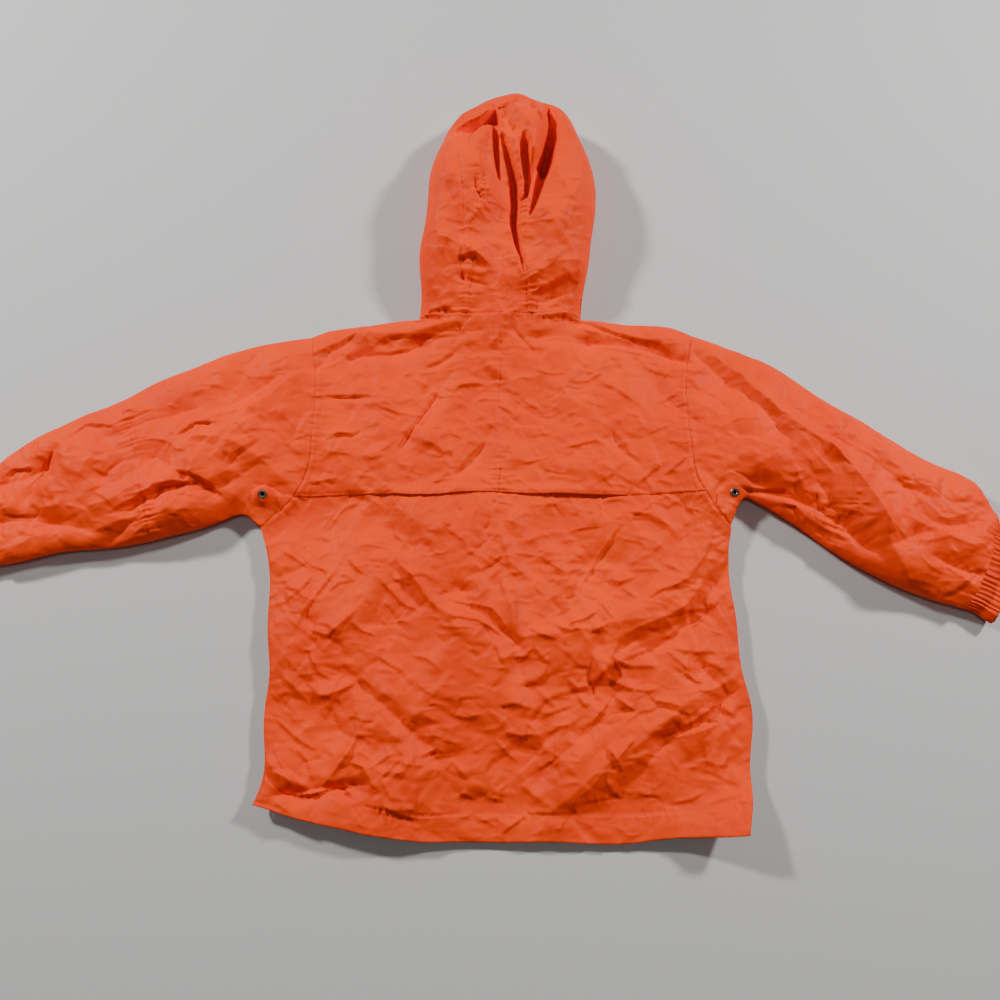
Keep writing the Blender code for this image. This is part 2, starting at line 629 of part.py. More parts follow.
def make_cuff(name, table, material):
    """A gathered elastic band: gathers stand on the outer points over a plain inside."""
    count = CUFF_GATHERS * GATHER_POINTS
    angle = np.arange(count) * 2 * math.pi / count
    height = np.abs(np.sin(angle)) ** 0.75
    over = np.sin(angle) >= 0
    gather = GATHER_RISE * (0.5 + 0.5 * np.cos(angle * CUFF_GATHERS))
    outer, out = [], []
    for share, swell in CUFF_RINGS:
        section = sleeve_section(table, CUFF_ROW + share)
        upper, lower = section[:2], section[2:4]
        across = unit(lower - upper)
        middle = (upper + lower) / 2
        half = np.linalg.norm(lower - upper) / 2 - CUFF_TUCK + swell
        plan = middle - across * (np.cos(angle) * half)[:, None]
        z_over = CUFF_EDGE + (CUFF_HEIGHT + swell - CUFF_EDGE) * height
        z_under = CUFF_EDGE - (CUFF_EDGE - GATHER_RISE) * height
        z = np.where(over, z_over, z_under)
        away = np.stack([-across[0] * np.cos(angle), -across[1] * np.cos(angle), np.sin(angle)], -1)
        away = unit(away * np.array([1, 1, 3.0]))
        outer.append(np.concatenate([plan, z[:, None]], 1) + away * gather[:, None])
        out.append(away)
    outer, out = np.array(outer), np.array(out)
    outer[..., 2] = np.maximum(outer[..., 2], 0)
    axis = sleeve_axis(table)
    outer[0, :, :2] += axis * HALF_SEAM
    wall = WALL + np.broadcast_to(gather, outer.shape[:2])
    add_wall(name, outer, out, material, wrap=True, flip=table is SLEEVE_LEFT, wall=wall)


def sleeve_axis(table):
    """Direction along the sleeve at its cuff."""
    a, b = np.array(table[CUFF_ROW], float), np.array(table[CUFF_ROW + 1], float)
    return unit((b[:2] + b[2:4]) / 2 - (a[:2] + a[2:4]) / 2)


# ------------------------------------------------------------------ hood
def crown_arc(count):
    """The crown's edge between the two gusset seams."""
    left, right = np.array(CROWN_LEFT, float), np.array(CROWN_RIGHT, float)
    share = np.linspace(0, 1, count)[:, None]
    return left + (right - left) * share + np.array([0, CROWN_BULGE]) * 4 * share * (1 - share)


def hood_sides():
    """Dense left and right edges of the hood in plan, from the neck to the gusset seams."""
    left = smooth_rows([(row[1], row[0]) for row in HOOD] + [CROWN_LEFT], 6)
    right = smooth_rows([(row[2], row[0]) for row in HOOD] + [CROWN_RIGHT], 6)
    return left, right


def make_hood_line():
    left, right = hood_sides()
    ring = np.vstack([left[:-1], crown_arc(9)[:-1], right[::-1]])
    return FoldLine(ring[::-1])


HOOD_LINE = make_hood_line()


def hood_valley(x, y):
    middle, depth, half = [column(VALLEY, y, k) for k in (1, 2, 3)]
    return -depth * np.exp(-np.abs((x - middle) / half) ** 2.4)


def hood_top(x, y):
    """Outer surface of the hood seen from above; at the neck it has the body's height."""
    wide, tall = column(HOOD, y, 3), column(HOOD, y, 4)
    turn = BODY_TURN + (HOOD_TURN - BODY_TURN) * smooth_step((y - NECK_Y) / HOOD_BLEND)
    rise, lean = edge_profile([HOOD_LINE], x, y, turn)
    climb = tall - wide
    shape = fold_height(HOOD_FOLDS, x, y) + hood_valley(x, y)
    height = wide + climb * rise + shape * rise
    out = unit(np.concatenate([lean, (rise * turn / climb)[..., None]], -1))
    neck_height, neck_out = body_top(x, np.full_like(y, NECK_Y - HALF_SEAM))
    blend = smooth_step((y - NECK_Y) / HOOD_BLEND)
    neck_out[..., 1] = 0
    out = unit(neck_out * (1 - blend)[..., None] + out * blend[..., None])
    return neck_height * (1 - blend) + height * blend + SEAM * (1 - blend), out


def hood_under(x, y):
    wide = column(HOOD, y, 3)
    rise, lean = edge_profile([HOOD_LINE], x, y, HOOD_UNDER_TURN * np.ones_like(x))
    out = unit(np.concatenate([lean, -(rise * HOOD_UNDER_TURN / wide)[..., None]], -1))
    return wide * (1 - rise), out


def along_curve(points, shares):
    """Points at shares of a curve's length."""
    points = np.array(points, float)
    steps = np.concatenate([[0], np.cumsum(np.linalg.norm(np.diff(points, axis=0), axis=1))])
    at = np.asarray(shares) * steps[-1]
    return np.stack([np.interp(at, steps, points[:, k]) for k in range(2)], -1)


def hood_side_plan(side):
    """Plan grid of a side panel, from the neck to the crown: face edge, round the side, gusset seam."""
    edge = hood_sides()[0 if side < 0 else 1]
    seam = smooth_rows([(row[1 if side < 0 else 2], row[0]) for row in GUSSET], 6)
    face = smooth_rows(FACE_EDGE, 6)
    if side > 0:
        face = face * np.array([-1, 1]) + np.array([14, 0]) * smooth_step((face[:, 1:] - 250) / 200)
    shares = np.linspace(0, 1, HOOD_ROWS)
    edge, seam, face = [along_curve(line, shares) for line in (edge, seam, face)]
    under = [face + (edge - face) * share for share in HOOD_UNDER]
    over = [edge + (seam - edge) * share for share in HOOD_OVER]
    return np.stack(under + over, 1)


def lay_hood(plan, under_columns):
    """Lays columns before under_columns on the underside and the rest on top."""
    top, top_out = surface(hood_top, plan)
    low, low_out = surface(hood_under, plan)
    points, out = top.copy(), top_out.copy()
    points[:, :under_columns] = low[:, :under_columns]
    out[:, :under_columns] = low_out[:, :under_columns]
    return points, out


def make_hood(material):
    count = len(HOOD_UNDER)
    plans = {}
    for word, side in (("left", -1), ("right", 1)):
        plan = hood_side_plan(side)
        plans[side] = plan.copy()
        toward = np.array([side, 0]) * HALF_SEAM
        plan[:, -1] += toward
        plan[-1, :] += toward
        plan[0, :, 1] += HALF_SEAM
        points, out = lay_hood(plan, count)
        add_wall(f"hood_{word}", points, out, material, flip=side > 0)
    left, right = [np.vstack([plans[side][:, -1], plans[side][-1, -2::-1]]) for side in (-1, 1)]
    across = np.array(GUSSET_ACROSS)[None, :, None]
    plan = left[:, None] + (right - left)[:, None] * across
    edge_row = HOOD_ROWS + len(HOOD_OVER) - 1
    rows = np.arange(len(left))
    near = np.exp(-((rows - edge_row) / CROWN_ROWS) ** 2)[:, None]
    plan[..., 1] += CROWN_BULGE * near * (4 * across * (1 - across))[..., 0]
    plan[:, 0, 0] += HALF_SEAM
    plan[:, -1, 0] -= HALF_SEAM
    plan[0, :, 1] += HALF_SEAM
    points, out = surface(hood_top, plan)
    low, low_out = surface(hood_under, plan)
    points[edge_row:], out[edge_row:] = low[edge_row:], low_out[edge_row:]
    add_wall("hood_center", points, out, material)


# ------------------------------------------------------------------ eyelets
def make_eyelet(name, x, y, material):
    """A pressed metal ring, a flattened torus lying along the slope of the cloth."""
    bpy.ops.mesh.primitive_torus_add(major_segments=18, minor_segments=8,
                                     major_radius=(EYELET_OUTER + EYELET_HOLE) / 2 * MM,
                                     minor_radius=(EYELET_OUTER - EYELET_HOLE) / 2 * MM)
    ring = bpy.context.object
    ring.name = name
    ring.data.name = name
    ring.data.materials.append(material)
    ring.data.shade_smooth()
    flatten = Matrix.Diagonal((1, 1, EYELET_RISE / (EYELET_OUTER - EYELET_HOLE), 1))
    probe = np.array([(x, y), (x + EYELET_PROBE, y), (x - EYELET_PROBE, y),
                      (x, y + EYELET_PROBE), (x, y - EYELET_PROBE)], float)
    height = body_top(probe[:, 0], probe[:, 1])[0]
    slope = Vector((height[2] - height[1], height[4] - height[3], 2 * EYELET_PROBE))
    tilt = Vector((0, 0, 1)).rotation_difference(slope).to_matrix().to_4x4()
    ring.data.transform(tilt @ flatten)
    ring.location = Vector((x, y, 0)) * MM
    placed = np.array([ring.location + point.co for point in ring.data.vertices]) / MM
    cloth_height = body_top(placed[:, 0], placed[:, 1])[0]
    ring.location.z = (EYELET_SEAT + (cloth_height - placed[:, 2]).max()) * MM
    for collection in ring.users_collection:
        collection.objects.unlink(ring)
    PARTS.objects.link(ring)


# ------------------------------------------------------------------ the anorak
def make_material(name, color, roughness, metallic):
    material = bpy.data.materials.new(name)
    material.use_nodes = True
    shader = material.node_tree.nodes["Principled BSDF"]
    shader.inputs["Base Color"].default_value = color
    shader.inputs["Roughness"].default_value = roughness
    shader.inputs["Metallic"].default_value = metallic
    return material


for old in list(bpy.data.objects):
    bpy.data.objects.remove(old)
PARTS = bpy.data.collections.new("anorak")
bpy.context.scene.collection.children.link(PARTS)

cloth = make_material("shell_cloth", ORANGE, 0.62, 0.0)
metal = make_material("eyelet_metal", METAL, 0.35, 1.0)

make_front(cloth)
make_back(cloth)
make_yoke("yoke_left", -1, cloth)
make_yoke("yoke_right", 1, cloth)
make_sleeve("left", SLEEVE_LEFT, 1, cloth)
make_sleeve("right", SLEEVE_RIGHT, 2, cloth)
make_cuff("cuff_left", SLEEVE_LEFT, cloth)
make_cuff("cuff_right", SLEEVE_RIGHT, cloth)
make_hood(cloth)
for eyelet, eyelet_x, eyelet_y in EYELETS:
    make_eyelet(eyelet, eyelet_x, eyelet_y, metal)
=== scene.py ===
"""An orange nylon anorak laid on a table with its back up: the dressed model.

The cloth pieces are thin shells over the forms of the solids. Tables are in millimetres in the
garment's frame: +X to the right of the picture, +Y from the hem to the hood, +Z up.
"""
import math

import bpy
import numpy as np
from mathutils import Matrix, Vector
from mathutils.bvhtree import BVHTree
from mathutils.geometry import delaunay_2d_cdt


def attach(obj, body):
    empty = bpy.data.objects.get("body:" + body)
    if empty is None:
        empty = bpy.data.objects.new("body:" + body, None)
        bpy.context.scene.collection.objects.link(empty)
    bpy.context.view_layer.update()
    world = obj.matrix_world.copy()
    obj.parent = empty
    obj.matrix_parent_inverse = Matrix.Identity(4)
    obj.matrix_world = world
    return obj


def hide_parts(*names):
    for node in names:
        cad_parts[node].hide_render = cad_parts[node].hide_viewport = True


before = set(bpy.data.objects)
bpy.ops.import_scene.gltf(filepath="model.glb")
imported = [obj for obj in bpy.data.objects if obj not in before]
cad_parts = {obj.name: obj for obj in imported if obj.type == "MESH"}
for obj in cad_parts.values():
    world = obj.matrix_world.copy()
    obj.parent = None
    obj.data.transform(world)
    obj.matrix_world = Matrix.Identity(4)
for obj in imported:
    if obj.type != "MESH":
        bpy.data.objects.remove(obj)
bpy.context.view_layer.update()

MM = 0.001
CLOTH = 0.5           # thickness of the cloth at a turned edge
GRID = 1.5            # spacing of the points on what shows
FRONT_GRID = 5.0      # and on what lies on the table
UNDER_GRID = 6.0
DOWN = Vector((0, 0, -1))
ABOVE = 500           # a height above everything, where looks straight down start

# ------------------------------------------------------------------ plan of the body
# Left x and y, right x and y, from the hem up to the underarms.
SIDES = [
    (-246, -262, 243, -289), (-241, -236, 251, -245), (-240, -190, 256, -190), (-241, -140, 254, -145),
    (-243, -90, 249, -95), (-245, -40, 246, -45), (-249, -5, 245, 0), (-257, 22, 248, 27),
]
# y, left x, right x.
ARMHOLE = [
    (35, -245, 239), (47, -233, 229), (60, -223, 220), (76, -216, 212), (98, -209, 207), (124, -205, 205),
    (152, -204, 205), (180, -205, 206), (206, -207, 208), (227, -210, 212), (241, -213, 215),
    (248, -216, 217),
]
TOP_Y, TOP_LEFT, TOP_RIGHT = ARMHOLE[-1]
HEM = [
    (-246, -262), (-195, -275), (-132, -290), (-75, -296), (0, -298), (130, -298), (194, -295), (243, -289),
]
HEM_FADE = 150
SIDE_LENGTH = 300
BODY_WIDTH = 496
SHOULDER = [(216, 248), (195, 257), (172, 262), (130, 266), (92, 268)]
NECK_HALF = 92
NECK_Y = 268
FRONT_NECK_DROP = 42
FRONT_NECK_HALF = 10
YOKE_Y = 60
YOKE_LAP_Y = 76
VENT = (-150, 132)
VENT_FADE = 40
VENT_RUN = 13
VENT_DIP = 1.6
# The free edge of the yoke stands off the panel below: middle, half width, lift.
VENT_GAPS = [(-108, 36, 2.2), (-52, 30, 1.6), (30, 24, 1.6), (66, 20, 4.2), (104, 22, 3.2)]
LAP_FADE = 34
LAP_STEP = 0.9
CLEAR = 0.3
CASING = 27

# ------------------------------------------------------------------ sleeves
# Upper x and y, lower x and y, bow.
SLEEVE_LEFT = [
    (-216, 248, -257, 22, 0), (-242, 243, -276, 37, 0), (-276, 234, -302, 28, 0), (-322, 215, -329, 18, -4),
    (-374, 191, -354, 10, -9), (-428, 163, -378, 4, -13), (-468, 146, -420, -1, -9),
    (-505, 127, -465, -5, -5), (-540, 100, -504, -13, -2), (-563, 80, -532, -18, 0),
    (-593, 70, -563, -27, 0),
]
SLEEVE_RIGHT = [
    (217, 248, 248, 27, 0), (244, 239, 263, 54, 0), (271, 226, 282, 46, 0), (306, 206, 303, 32, -6),
    (355, 173, 325, 17, -9), (412, 131, 346, 2, -11), (442, 114, 386, -24, -8), (475, 95, 424, -45, -5),
    (510, 73, 459, -59, -2), (534, 36, 486, -67, 0), (562, 22, 515, -79, 0),
]
ELBOW_ROW = 5
CUFF_ROW = 9
ARMHOLE_FADE = 2.6
CUFF_GATHERS = 52
CUFF_RINGS = 16
GATHER_POINTS = 8
GATHER_RISE = 1.5
CUFF_HEIGHT = 25
CUFF_EDGE = 12
CUFF_WAIST = 1.5

# ------------------------------------------------------------------ heights
CROWN_SPOTS = [
    (0, -296, 9), (-75, -296, 12), (-140, -286, 27), (-205, -268, 20), (120, -296, 11), (205, -288, 19),
    (0, -225, 15), (-120, -225, 20), (-190, -215, 16), (120, -225, 17), (200, -215, 17), (0, -120, 20),
    (-150, -120, 17), (150, -120, 18), (0, 0, 20), (-170, 0, 16), (170, 0, 17), (0, 70, 21), (-150, 90, 20),
    (150, 90, 20), (0, 160, 22), (-140, 180, 22), (140, 180, 22), (0, 230, 29), (-140, 240, 24),
    (140, 240, 24), (0, 268, 36), (-60, 268, 33), (60, 268, 33), (-255, 140, 31), (-325, 120, 40),
    (-400, 92, 43), (-470, 66, 43), (-520, 50, 38), (-552, 32, 30), (255, 140, 31), (325, 108, 42),
    (385, 68, 44), (440, 28, 45), (480, 10, 41), (512, -10, 31),
]
SPOT_REACH = 52
LEAST_TOP = 6.5
LEAST_DRESSED = 4.5
FLOOR_BLEND = 4
BODY_EDGE = 8
SLEEVE_EDGE = 15
NECK_EDGE = 4
NECK_EDGE_REACH = 190
BODY_SIDE = 205
SLEEVE_FADE = 70
BODY_TURN = 32
SLEEVE_TURN = 58
BODY_UNDER_TURN = 13
SLEEVE_UNDER_TURN = 24
# Edges that curl up: x, y, reach, height.
CURLS = [(262, -312, 105, 34), (-262, -285, 62, 10)]

# ------------------------------------------------------------------ hood
# y, left x, right x, height of the turned side, height of the top.
HOOD = [
    (268, -92, 92, 9.4, 36), (300, -90, 94, 21, 50), (340, -91, 101, 27, 61), (380, -88, 107, 31, 69),
    (430, -81, 109, 33, 74), (462, -74, 104, 33, 74), (490, -67, 92, 32, 70), (517, -54, 80, 31, 62),
    (534, -36, 68, 30, 54),
]
CROWN_LEFT = (-16, 547)
CROWN_RIGHT = (42, 550)
CROWN_BULGE = 9
# y, left x, right x.
GUSSET = [
    (268, -36, 31), (300, -34, 31), (340, -31, 30), (380, -27, 25), (415, -22, 22), (450, -19, 15),
    (480, -17, 9), (505, -16, 10),
]
FACE_EDGE = [(-10, 226), (-34, 262), (-47, 310), (-52, 380), (-46, 450), (-36, 495), (-20, 517)]
HOOD_TURN = 50
HOOD_UNDER_TURN = 30
HOOD_BLEND = 46
HOOD_LENGTH = 290
# y, middle, depth, half width.
VALLEY = [
    (268, 0, 0, 16), (305, -2, 3, 18), (335, 2, 14, 17), (380, 4, 27, 15), (430, 4, 34, 14),
    (470, 3, 32, 14), (500, 8, 20, 16), (530, 14, 5, 18), (560, 14, 0, 18),
]
VALLEY_SHARE = 0.4
# Grooves between the folds of the hood, in the same columns.
GROOVES = [
    [(311, 27, 1, 1.5), (329, 25, 7, 2.2), (347, 21, 14, 2.9), (368, 17, 21, 4.0), (397, 16, 26, 4.8),
     (422, 15, 26, 4.7), (438, 12, 22, 4.2), (462, 5, 10, 3.6), (474, 2, 1, 2.4)],
    [(392, 32, 1, 1.5), (409, 31, 13, 3.0), (430, 30, 23, 4.6), (451, 30, 26, 5.6), (464, 30, 22, 5.4),
     (476, 29, 1, 3.0)],
    [(372, 36, 1, 1.6), (390, 40, 15, 3.8), (409, 44, 23, 5.4), (430, 51, 28, 6.6), (451, 56, 28, 6.8),
     (473, 60, 24, 5.8), (492, 62, 8, 3.6), (500, 64, 1, 1.8)],
    [(420, -3, 1, 1.6), (443, -4, 15, 2.8), (462, -6, 20, 3.6), (480, -8, 14, 3.6), (488, -9, 1, 2.4)],
]

# ------------------------------------------------------------------ folds
# From x, y, to x, y, half width, height (below 0 a trough).
FOLDS = [
    (98, 233, 202, 214, 13, -8), (100, 252, 190, 240, 13, 4), (44, 242, 96, 237, 12, -7),
    (-154, 220, -90, 233, 13, -7), (-90, 237, -29, 246, 12, -5), (-150, 250, -60, 256, 13, 4),
    (-206, 205, -169, 217, 12, -6), (-207, 172, -103, 170, 12, 3), (-96, 130, -61, 191, 14, -4),
    (-48, 84, -17, 124, 12, -4), (7, 176, 46, 150, 14, -3), (127, 122, 150, 96, 14, -4),
    (31, 122, 48, 88, 13, -3), (80, 200, 60, 130, 16, 3), (-98, -28, -50, -84, 15, 5),
    (-40, -50, 13, -97, 15, -6), (2, 10, 15, -85, 13, 5), (58, -10, 80, -52, 13, 4),
    (78, -52, 106, -12, 13, -4), (17, -106, 32, -150, 14, -5), (77, -88, 98, -120, 14, 5),
    (98, -106, 96, -150, 13, -6), (96, -143, 130, -116, 14, 4), (139, -66, 195, -28, 15, 4),
    (165, -106, 214, -72, 15, -5), (165, -199, 236, -155, 14, -6), (165, -182, 225, -146, 14, 4),
    (-20, -262, 45, -199, 18, -6), (32, -254, 88, -192, 18, -5), (8, -240, 62, -186, 15, 4),
    (-134, -153, -74, -210, 17, -6), (-98, -178, -50, -216, 15, -5), (-144, -186, -170, -234, 13, 6),
    (-232, -224, -188, -248, 13, 7), (-215, -254, -145, -249, 12, -9), (-194, -80, -173, -99, 14, -4),
    (-173, -99, -155, -74, 14, 4), (-300, 66, -410, 6, 17, -9), (-290, 84, -400, 26, 15, 5),
    (-478, 108, -503, 58, 15, -8), (-492, 84, -535, 68, 15, -8), (-350, 150, -402, 130, 17, -6),
    (-280, 162, -318, 112, 18, -5), (-450, 20, -530, 24, 15, -6), (-395, 60, -440, 40, 16, 4),
    (266, 196, 355, 102, 17, 7), (355, 102, 402, 24, 16, 8), (402, 24, 428, -48, 15, 6),
    (226, 216, 300, 124, 19, -9), (312, 160, 368, 112, 17, -7), (279, 64, 384, 0, 17, -9),
    (345, 60, 395, -10, 16, -5), (415, 0, 486, 20, 16, -7), (462, -14, 495, -34, 13, -7),
    (440, 22, 486, 0, 13, 5), (430, 60, 500, 44, 16, -4),
]
HOOD_FOLDS = [
    (56, 512, 50, 445, 9, -24), (50, 445, 28, 400, 9, -16), (38, 520, 40, 450, 10, 7),
    (-24, 500, -46, 488, 13, -9), (-60, 500, -18, 526, 10, 6), (12, 522, 30, 490, 11, 8),
    (-60, 345, -20, 322, 12, 5), (-42, 306, -26, 300, 7, -6), (-58, 400, -42, 330, 12, -5),
    (46, 278, 84, 300, 12, -5), (36, 306, 86, 322, 11, 5), (84, 400, 60, 330, 16, 5),
]
FOLD_BOW = 0.06
FOLD_CRISP = 0.6
# Sharp steps, high on the left of each line: from x, y, to x, y, reach, height.
STEPS = [(-146, -248, -214, -254, 10, 3.2), (-214, -254, -232, -240, 8, 2.0)]
STEP_WIDTH = 1.2
STEP_FADE = 8

# Folds that hang over: depth, width of the drop, reach of the hollow on the right of the line of points.
BODY_DROPS = [
    (5, 1.5, 9, -193, -244, -217, -232, -233, -229),
    (9, 1.5, 8, -217, -251, -200, -253, -185, -253, -162, -246), (6, 1.5, 6, -159, -244, -146, -256),
    (4, 1.5, 9, -126, -247, -145, -246, -157, -244), (2.5, 1.5, 5, -115, -260, -97, -268, -79, -270),
    (2.5, 2, 25, -130, -289, -148, -263), (8, 2, 12, -351, 80, -317, 70, -292, 54),
    (12, 2.5, 16, -415, 33, -385, 52, -362, 65, -338, 67, -317, 69),
    (3, 1.2, 5, -408, 1, -369, 4, -344, 13, -316, 20), (3, 1.5, 8, -297, 81, -284, 100, -257, 117),
    (4, 2, 10, -354, 117, -332, 136, -302, 135), (4, 1.5, 8, -505, 65, -493, 82, -483, 109),
    (5, 2, 9, -534, 77, -523, 85, -501, 86), (3, 1.5, 6, -528, 33, -510, 33, -490, 36),
    (4, 2, 8, -478, 114, -455, 135, -413, 131), (8, 2, 10, 251, 68, 274, 62, 303, 61, 319, 48),
    (8, 2, 9, 271, 50, 312, 43, 321, 31, 340, 19, 359, 9, 377, -2), (3, 1.5, 6, 337, 59, 339, 47, 343, 35),
    (3.5, 1, 5, 248, 74, 237, 59, 234, 45, 243, 26), (5, 3, 16, -213, 222, -182, 239, -155, 258),
    (4, 2.5, 12, -150, 224, -136, 238, -125, 244, -96, 245, -70, 244, -50, 241),
    (5, 2, 8, -117, 264, -82, 268, -50, 264), (3, 1.5, 6, -29, 266, -37, 255, -46, 242),
    (4, 2, 8, -207, 162, -197, 171, -165, 173, -142, 174), (3, 1.5, 6, -87, 207, -70, 213, -47, 227),
    (5, 2, 11, -120, 98, -100, 128, -79, 164, -66, 188),
    (2, 1.5, 5, -198, 128, -191, 128, -159, 128, -151, 136), (2.5, 1.5, 6, -56, 75, -37, 104, -19, 120),
    (6, 3, 14, 22, 260, 46, 264, 72, 267, 103, 262, 133, 247, 179, 235, 207, 213),
    (3, 1.5, 6, 14, 259, 33, 237, 45, 221),
    (1.8, 1.2, 7, -84, -268, 0, -271, 130, -271, 194, -268, 243, -262),
]
HOOD_DROPS = [
    (24, 2.5, 24, -57, 491, -26, 501, -7, 517, -3, 499, -3, 479),
    (5, 1.2, 4, -27, 418, -28, 408, -23, 395, -16, 387),
    (3, 1.2, 5, -46, 463, -44, 429, -42, 399, -39, 367, -32, 332),
    (4, 1.5, 9, -49, 326, -28, 326, -16, 314), (10, 2, 11, 34, 287, 66, 302, 89, 314),
    (3, 1.5, 6, -84, 259, -79, 273, -58, 274, -47, 265), (7, 1.5, 8, 38, 517, 45, 504, 53, 486),
    (3, 4, 12, 2, 346, 0, 314, -5, 300, -15, 292),
]

# ------------------------------------------------------------------ creases
# Height, width of the steep side (left of the way along it), width of the gentle side.
CREASE_KINDS = {"A": (4.6, 1.7, 8.5), "B": (2.9, 1.4, 5.6), "C": (1.8, 1.1, 4.2)}
# The creases of the back panel and of the yoke, each a line of points.
CREASES = {
    "A": [
        (-156, -75, -177, -94, -200, -84), (-56, -76, -75, -56, -93, -30, -109, -16),
        (127, 27, 116, 7, 95, -27, 80, -49), (104, -65, 87, -77, 66, -84), (108, -84, 94, -92),
        (57, -99, 41, -92, 29, -83), (10, -97, 1, -77, -9, -67, -28, -63, -45, -60, -63, -49),
        (7, -99, -7, -89, -25, -79, -48, -77, -62, -65), (188, 3, 179, 20, 161, 35, 143, 39, 129, 41),
        (202, -30, 184, -41, 166, -46, 147, -60), (216, -66, 190, -69, 184, -78),
        (-146, -141, -172, -156, -190, -158), (-54, -214, -64, -208, -80, -217),
        (-144, -188, -156, -213, -170, -235), (-113, -250, -128, -243, -138, -227, -155, -219),
        (-79, -271, -97, -267, -114, -262), (118, -121, 109, -131, 99, -143),
        (117, -152, 98, -174, 87, -186), (34, -167, 15, -163, -1, -166), (4, -257, -13, -253),
        (119, -121, 111, -129, 105, -139), (239, -178, 224, -162), (224, -162, 196, -180, 163, -201),
        (163, -201, 195, -192, 228, -180),
    ],
    "B": [
        (-199, -23, -220, -9, -241, 3), (-180, -27, -202, -16, -222, 0),
        (-165, -8, -187, -45, -204, -71, -218, -99), (-143, -31, -152, -25, -163, -9),
        (-155, -37, -170, -38, -180, -49), (-129, -94, -143, -89, -156, -77), (-97, 0, -108, 10, -118, 21),
        (-137, -14, -135, -8), (-91, -42, -115, -34), (-77, -72, -101, -61, -115, -48, -128, -38),
        (-152, 52, -167, 45, -185, 21), (-196, -27, -213, -52), (2, 0, 3, -35, 7, -49, 15, -68, 17, -92),
        (2, -7, -9, -19, -24, -29), (79, -50, 66, -27, 44, -9, 12, -2), (140, 28, 120, 28, 88, 24, 64, 18),
        (75, -92, 65, -88, 46, -77), (117, -76, 108, -61, 100, -54), (147, -31, 130, -38, 114, -34),
        (193, -29, 182, -22, 172, -17), (137, -33, 128, -37, 119, -33), (145, -53, 130, -41),
        (183, -84, 173, -98), (217, -73, 194, -88), (-162, -145, -185, -131, -200, -100),
        (-126, -152, -146, -135), (-98, -131, -111, -127, -129, -116), (-57, -132, -74, -117, -93, -113),
        (-178, -210, -207, -193, -235, -172), (-188, -168, -207, -151, -231, -132),
        (-151, -206, -158, -227), (-185, -245, -192, -219, -208, -200),
        (-208, -245, -223, -219, -230, -206), (-108, -214, -134, -230), (-98, -219, -124, -243),
        (-129, -287, -143, -263), (-233, -230, -214, -234, -192, -244), (-91, -232, -115, -232),
        (4, -122, 10, -114, 20, -107), (35, -106, 20, -125), (51, -127, 35, -106),
        (51, -127, 41, -143, 17, -147), (4, -125, -9, -102), (138, -125, 118, -121),
        (99, -144, 79, -150, 65, -136), (87, -168, 78, -154), (137, -170, 120, -154),
        (141, -147, 113, -136), (57, -168, 37, -148), (74, -164, 57, -169, 40, -174),
        (19, -221, 4, -209, -10, -197), (-19, -176, -34, -180, -53, -174), (54, -219, 38, -229),
        (44, -260, 33, -249, 23, -241), (107, -230, 90, -249, 74, -258), (-21, -258, -42, -248),
        (-6, -283, -29, -271), (31, -269, 15, -281, -1, -291), (27, -196, 4, -191), (-33, -238, -49, -219),
        (203, -137, 185, -122, 169, -107), (230, -110, 199, -111, 169, -107), (207, -145, 177, -125),
        (168, -126, 134, -125, 106, -113), (163, -150, 129, -145, 112, -135), (138, -171, 118, -154),
        (187, -170, 159, -159, 152, -151), (227, -180, 209, -179, 196, -180),
        (206, -246, 189, -255, 166, -259), (246, -253, 226, -255, 200, -262),
        (125, -255, 116, -251, 107, -236), (127, -232, 120, -221, 107, -206), (238, -154, 229, -137),
    ],
    "C": [
        (-194, -11, -207, 2), (-177, -3, -194, -11), (-153, -38, -170, -27), (-114, -1, -137, 3, -153, 7),
        (-53, 21, -65, 27), (-158, 32, -172, 30), (-75, -11, -93, -4), (-184, 11, -190, 16),
        (-198, -58, -212, -45, -227, -44), (-109, -71, -122, -58), (-112, -87, -125, -76),
        (29, -34, 17, -23, 7, -11), (65, -7, 40, -2), (97, -15, 69, -15, 44, -11),
        (130, -25, 102, -23, 75, -31), (79, -50, 67, -56, 72, -67), (49, -56, 36, -41),
        (-23, 40, -34, 30, -45, 27), (-1, 17, -16, 0), (-39, 3, -56, 18), (163, -7, 135, -22),
        (172, -25, 136, -25), (212, -56, 206, -46, 191, -48), (188, 49, 176, 41), (234, -15, 217, -12),
        (242, -41, 234, -53), (170, 1, 164, -4), (155, -90, 141, -98), (-149, -136, -162, -121),
        (-60, -145, -66, -156, -84, -143), (-85, -183, -91, -191), (-226, -164, -237, -152),
        (-92, -217, -98, -241), (-85, -218, -93, -230), (-130, -195, -144, -192), (-132, -219, -146, -210),
        (-198, -179, -208, -180), (136, -199, 121, -218), (127, -231, 118, -217, 106, -205),
        (63, -276, 54, -288), (42, -199, 27, -180), (160, -167, 142, -171, 125, -185),
        (223, -151, 205, -151, 183, -156), (157, -226, 144, -219), (225, -240, 193, -235),
        (138, -199, 121, -217), (232, -269, 227, -283), (234, -210, 224, -225),
        (238, -124, 229, -126, 207, -117), (179, -230, 167, -205),
    ],
}
